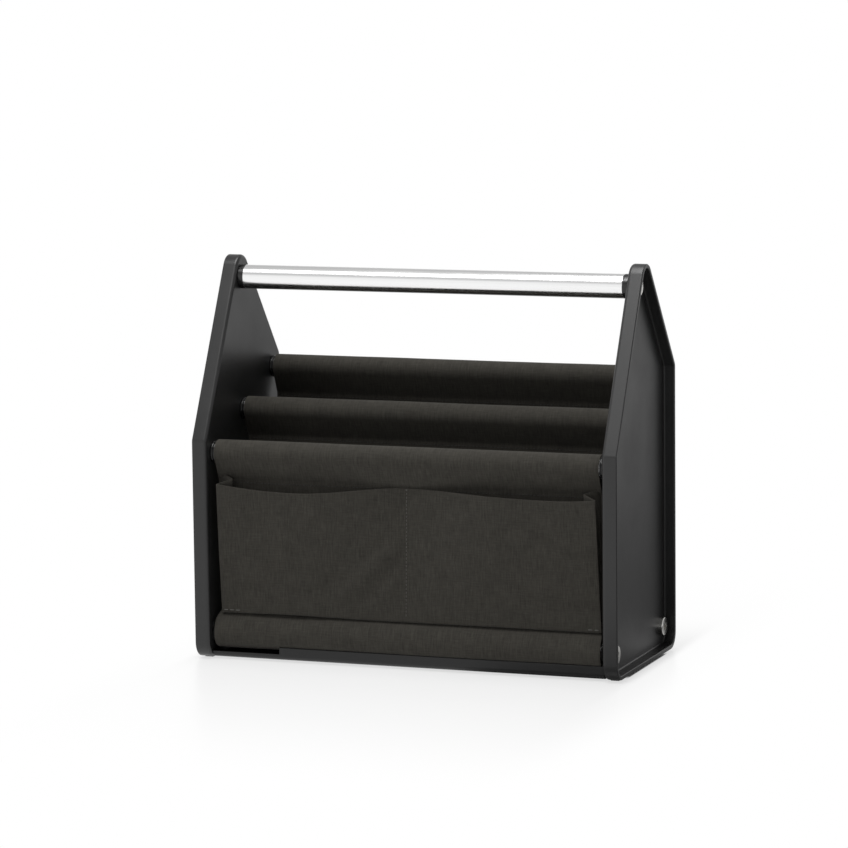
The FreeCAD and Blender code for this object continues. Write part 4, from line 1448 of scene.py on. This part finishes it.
def make_floor(settings):
    """Pale floor: shaded where the object touches it, white with a faint reflection away from it."""
    deselect()
    bpy.ops.mesh.primitive_plane_add(size=16.0, location=(0, 0, 0))
    floor = take("floor")
    material, tree, shader = new_material("floor_white")
    feed(tree, shader, {"Base Color": rgba(settings.floor), "Roughness": 0.4, "Specular IOR Level": 0.3})
    path = add_node(tree, "LightPath").outputs
    spot = object_place(tree)

    # Light that the object gets from the floor: less from behind and from the right
    depth = axes(tree, spot)[1]
    behind = smooth_ramp(tree, depth, 0.0, 0.2, 0.0, 1.0)
    lit = mix(tree, behind, 1.0, smooth_ramp(tree, depth, 0.2, 2.6, 0.2, 0.7))
    aside = vector_maths(tree, "DOT_PRODUCT", vector_maths(tree, "NORMALIZE", spot), RIGHT_OF_FLOOR)
    mirrored = maths(tree, "MULTIPLY", lit, smooth_ramp(tree, aside, 0.68, 0.92, 1.0, 0.15))
    strength = mix(tree, path["Is Camera Ray"], mirrored, 1.0)
    glow = add_node(tree, "Emission", {"Color": WHITE, "Strength": strength})

    # Faint reflection of the object, which fades ahead of it and beside it
    half = (CAD_HIGH[0], CAD_HIGH[1] - CONTACT_DEPTH, 0.0)
    beyond = vector_maths(tree, "SUBTRACT", vector_maths(tree, "ABSOLUTE", spot), half)
    outside = vector_maths(tree, "MAXIMUM", beyond, (0, 0, 0))
    beside = axes(tree, outside)
    ahead = smooth_ramp(tree, beside[1], 0.1, 0.48, 1.0, 0.0)
    share = maths(tree, "MULTIPLY", ahead, smooth_ramp(tree, beside[0], 0.0, 0.07, 0.1, 0.0))
    shine = add_node(tree, "BsdfGlossy", {"Color": WHITE, "Roughness": 0.3})
    white = add_node(tree, "MixShader", {0: share, 1: glow.outputs[0], 2: shine.outputs[0]})

    # Shade of contact, close to the object only
    gap = vector_maths(tree, "LENGTH", vector_maths(tree, "MULTIPLY", outside, CONTACT_SCALE))
    close = smooth_ramp(tree, gap, 0.0, 0.002, 0.0, 0.72)
    far = maths(tree, "ADD", close, smooth_ramp(tree, gap, 0.0, 0.03, 0.0, 0.28))
    clear = maths(tree, "MULTIPLY", far, path["Is Camera Ray"])
    fade = maths(tree, "MAXIMUM", clear, path["Is Glossy Ray"])
    surface = add_node(tree, "MixShader", {0: fade, 1: shader.outputs[0], 2: white.outputs[0]})
    feed(tree, tree.nodes["Material Output"], {"Surface": surface.outputs[0]})
    material.cycles.emission_sampling = "NONE"
    floor.data.materials.append(material)


class CADDY_OT_stage(bpy.types.Operator):
    """Make the camera, the floor and the light"""
    bl_idname = "caddy.stage"
    bl_label = "Stage"

    def execute(self, context):
        settings = context.scene.caddy_stage
        context.scene.view_settings.view_transform = "Standard"
        make_camera(settings)
        make_world()
        make_floor(settings)
        add_softbox("front_softbox", (-0.35, -0.75, 1.6), (1.2, 0.6), 5.2)
        add_softbox("top_softbox", (-0.05, -0.25, 1.75), (0.4, 1.2), 18.0)
        return {"FINISHED"}


# Add-on

STEPS = ["end_panels", "tubes", "bolts", "walls", "pocket", "stitching", "tray", "stage"]


class CADDY_PT_sidebar(bpy.types.Panel):
    """Lists the caddy's pieces and their settings"""
    bl_idname = "CADDY_PT_sidebar"
    bl_label = "Tool Caddy"
    bl_space_type = "VIEW_3D"
    bl_region_type = "UI"
    bl_category = "Caddy"

    def draw(self, context):
        for step in STEPS:
            self.layout.operator("caddy." + step)
        for key, group in GROUPS.items():
            box = self.layout.box()
            box.label(text=group.__doc__)
            for name in group.__annotations__:
                box.prop(getattr(context.scene, key), name, text=name.replace("_", " ").capitalize())


OPERATORS = [CADDY_OT_end_panels, CADDY_OT_tubes, CADDY_OT_bolts, CADDY_OT_walls, CADDY_OT_pocket,
             CADDY_OT_stitching, CADDY_OT_tray, CADDY_OT_stage]


def register():
    for key, group in GROUPS.items():
        bpy.utils.register_class(group)
        setattr(bpy.types.Scene, key, PointerProperty(type=group))
    for operator in OPERATORS:
        bpy.utils.register_class(operator)
    bpy.utils.register_class(CADDY_PT_sidebar)


def unregister():
    bpy.utils.unregister_class(CADDY_PT_sidebar)
    for operator in reversed(OPERATORS):
        bpy.utils.unregister_class(operator)
    for key, group in reversed(list(GROUPS.items())):
        delattr(bpy.types.Scene, key)
        bpy.utils.unregister_class(group)


def main():
    register()
    for step in STEPS:
        getattr(bpy.ops.caddy, step)()


if __name__ == "__main__":
    main()
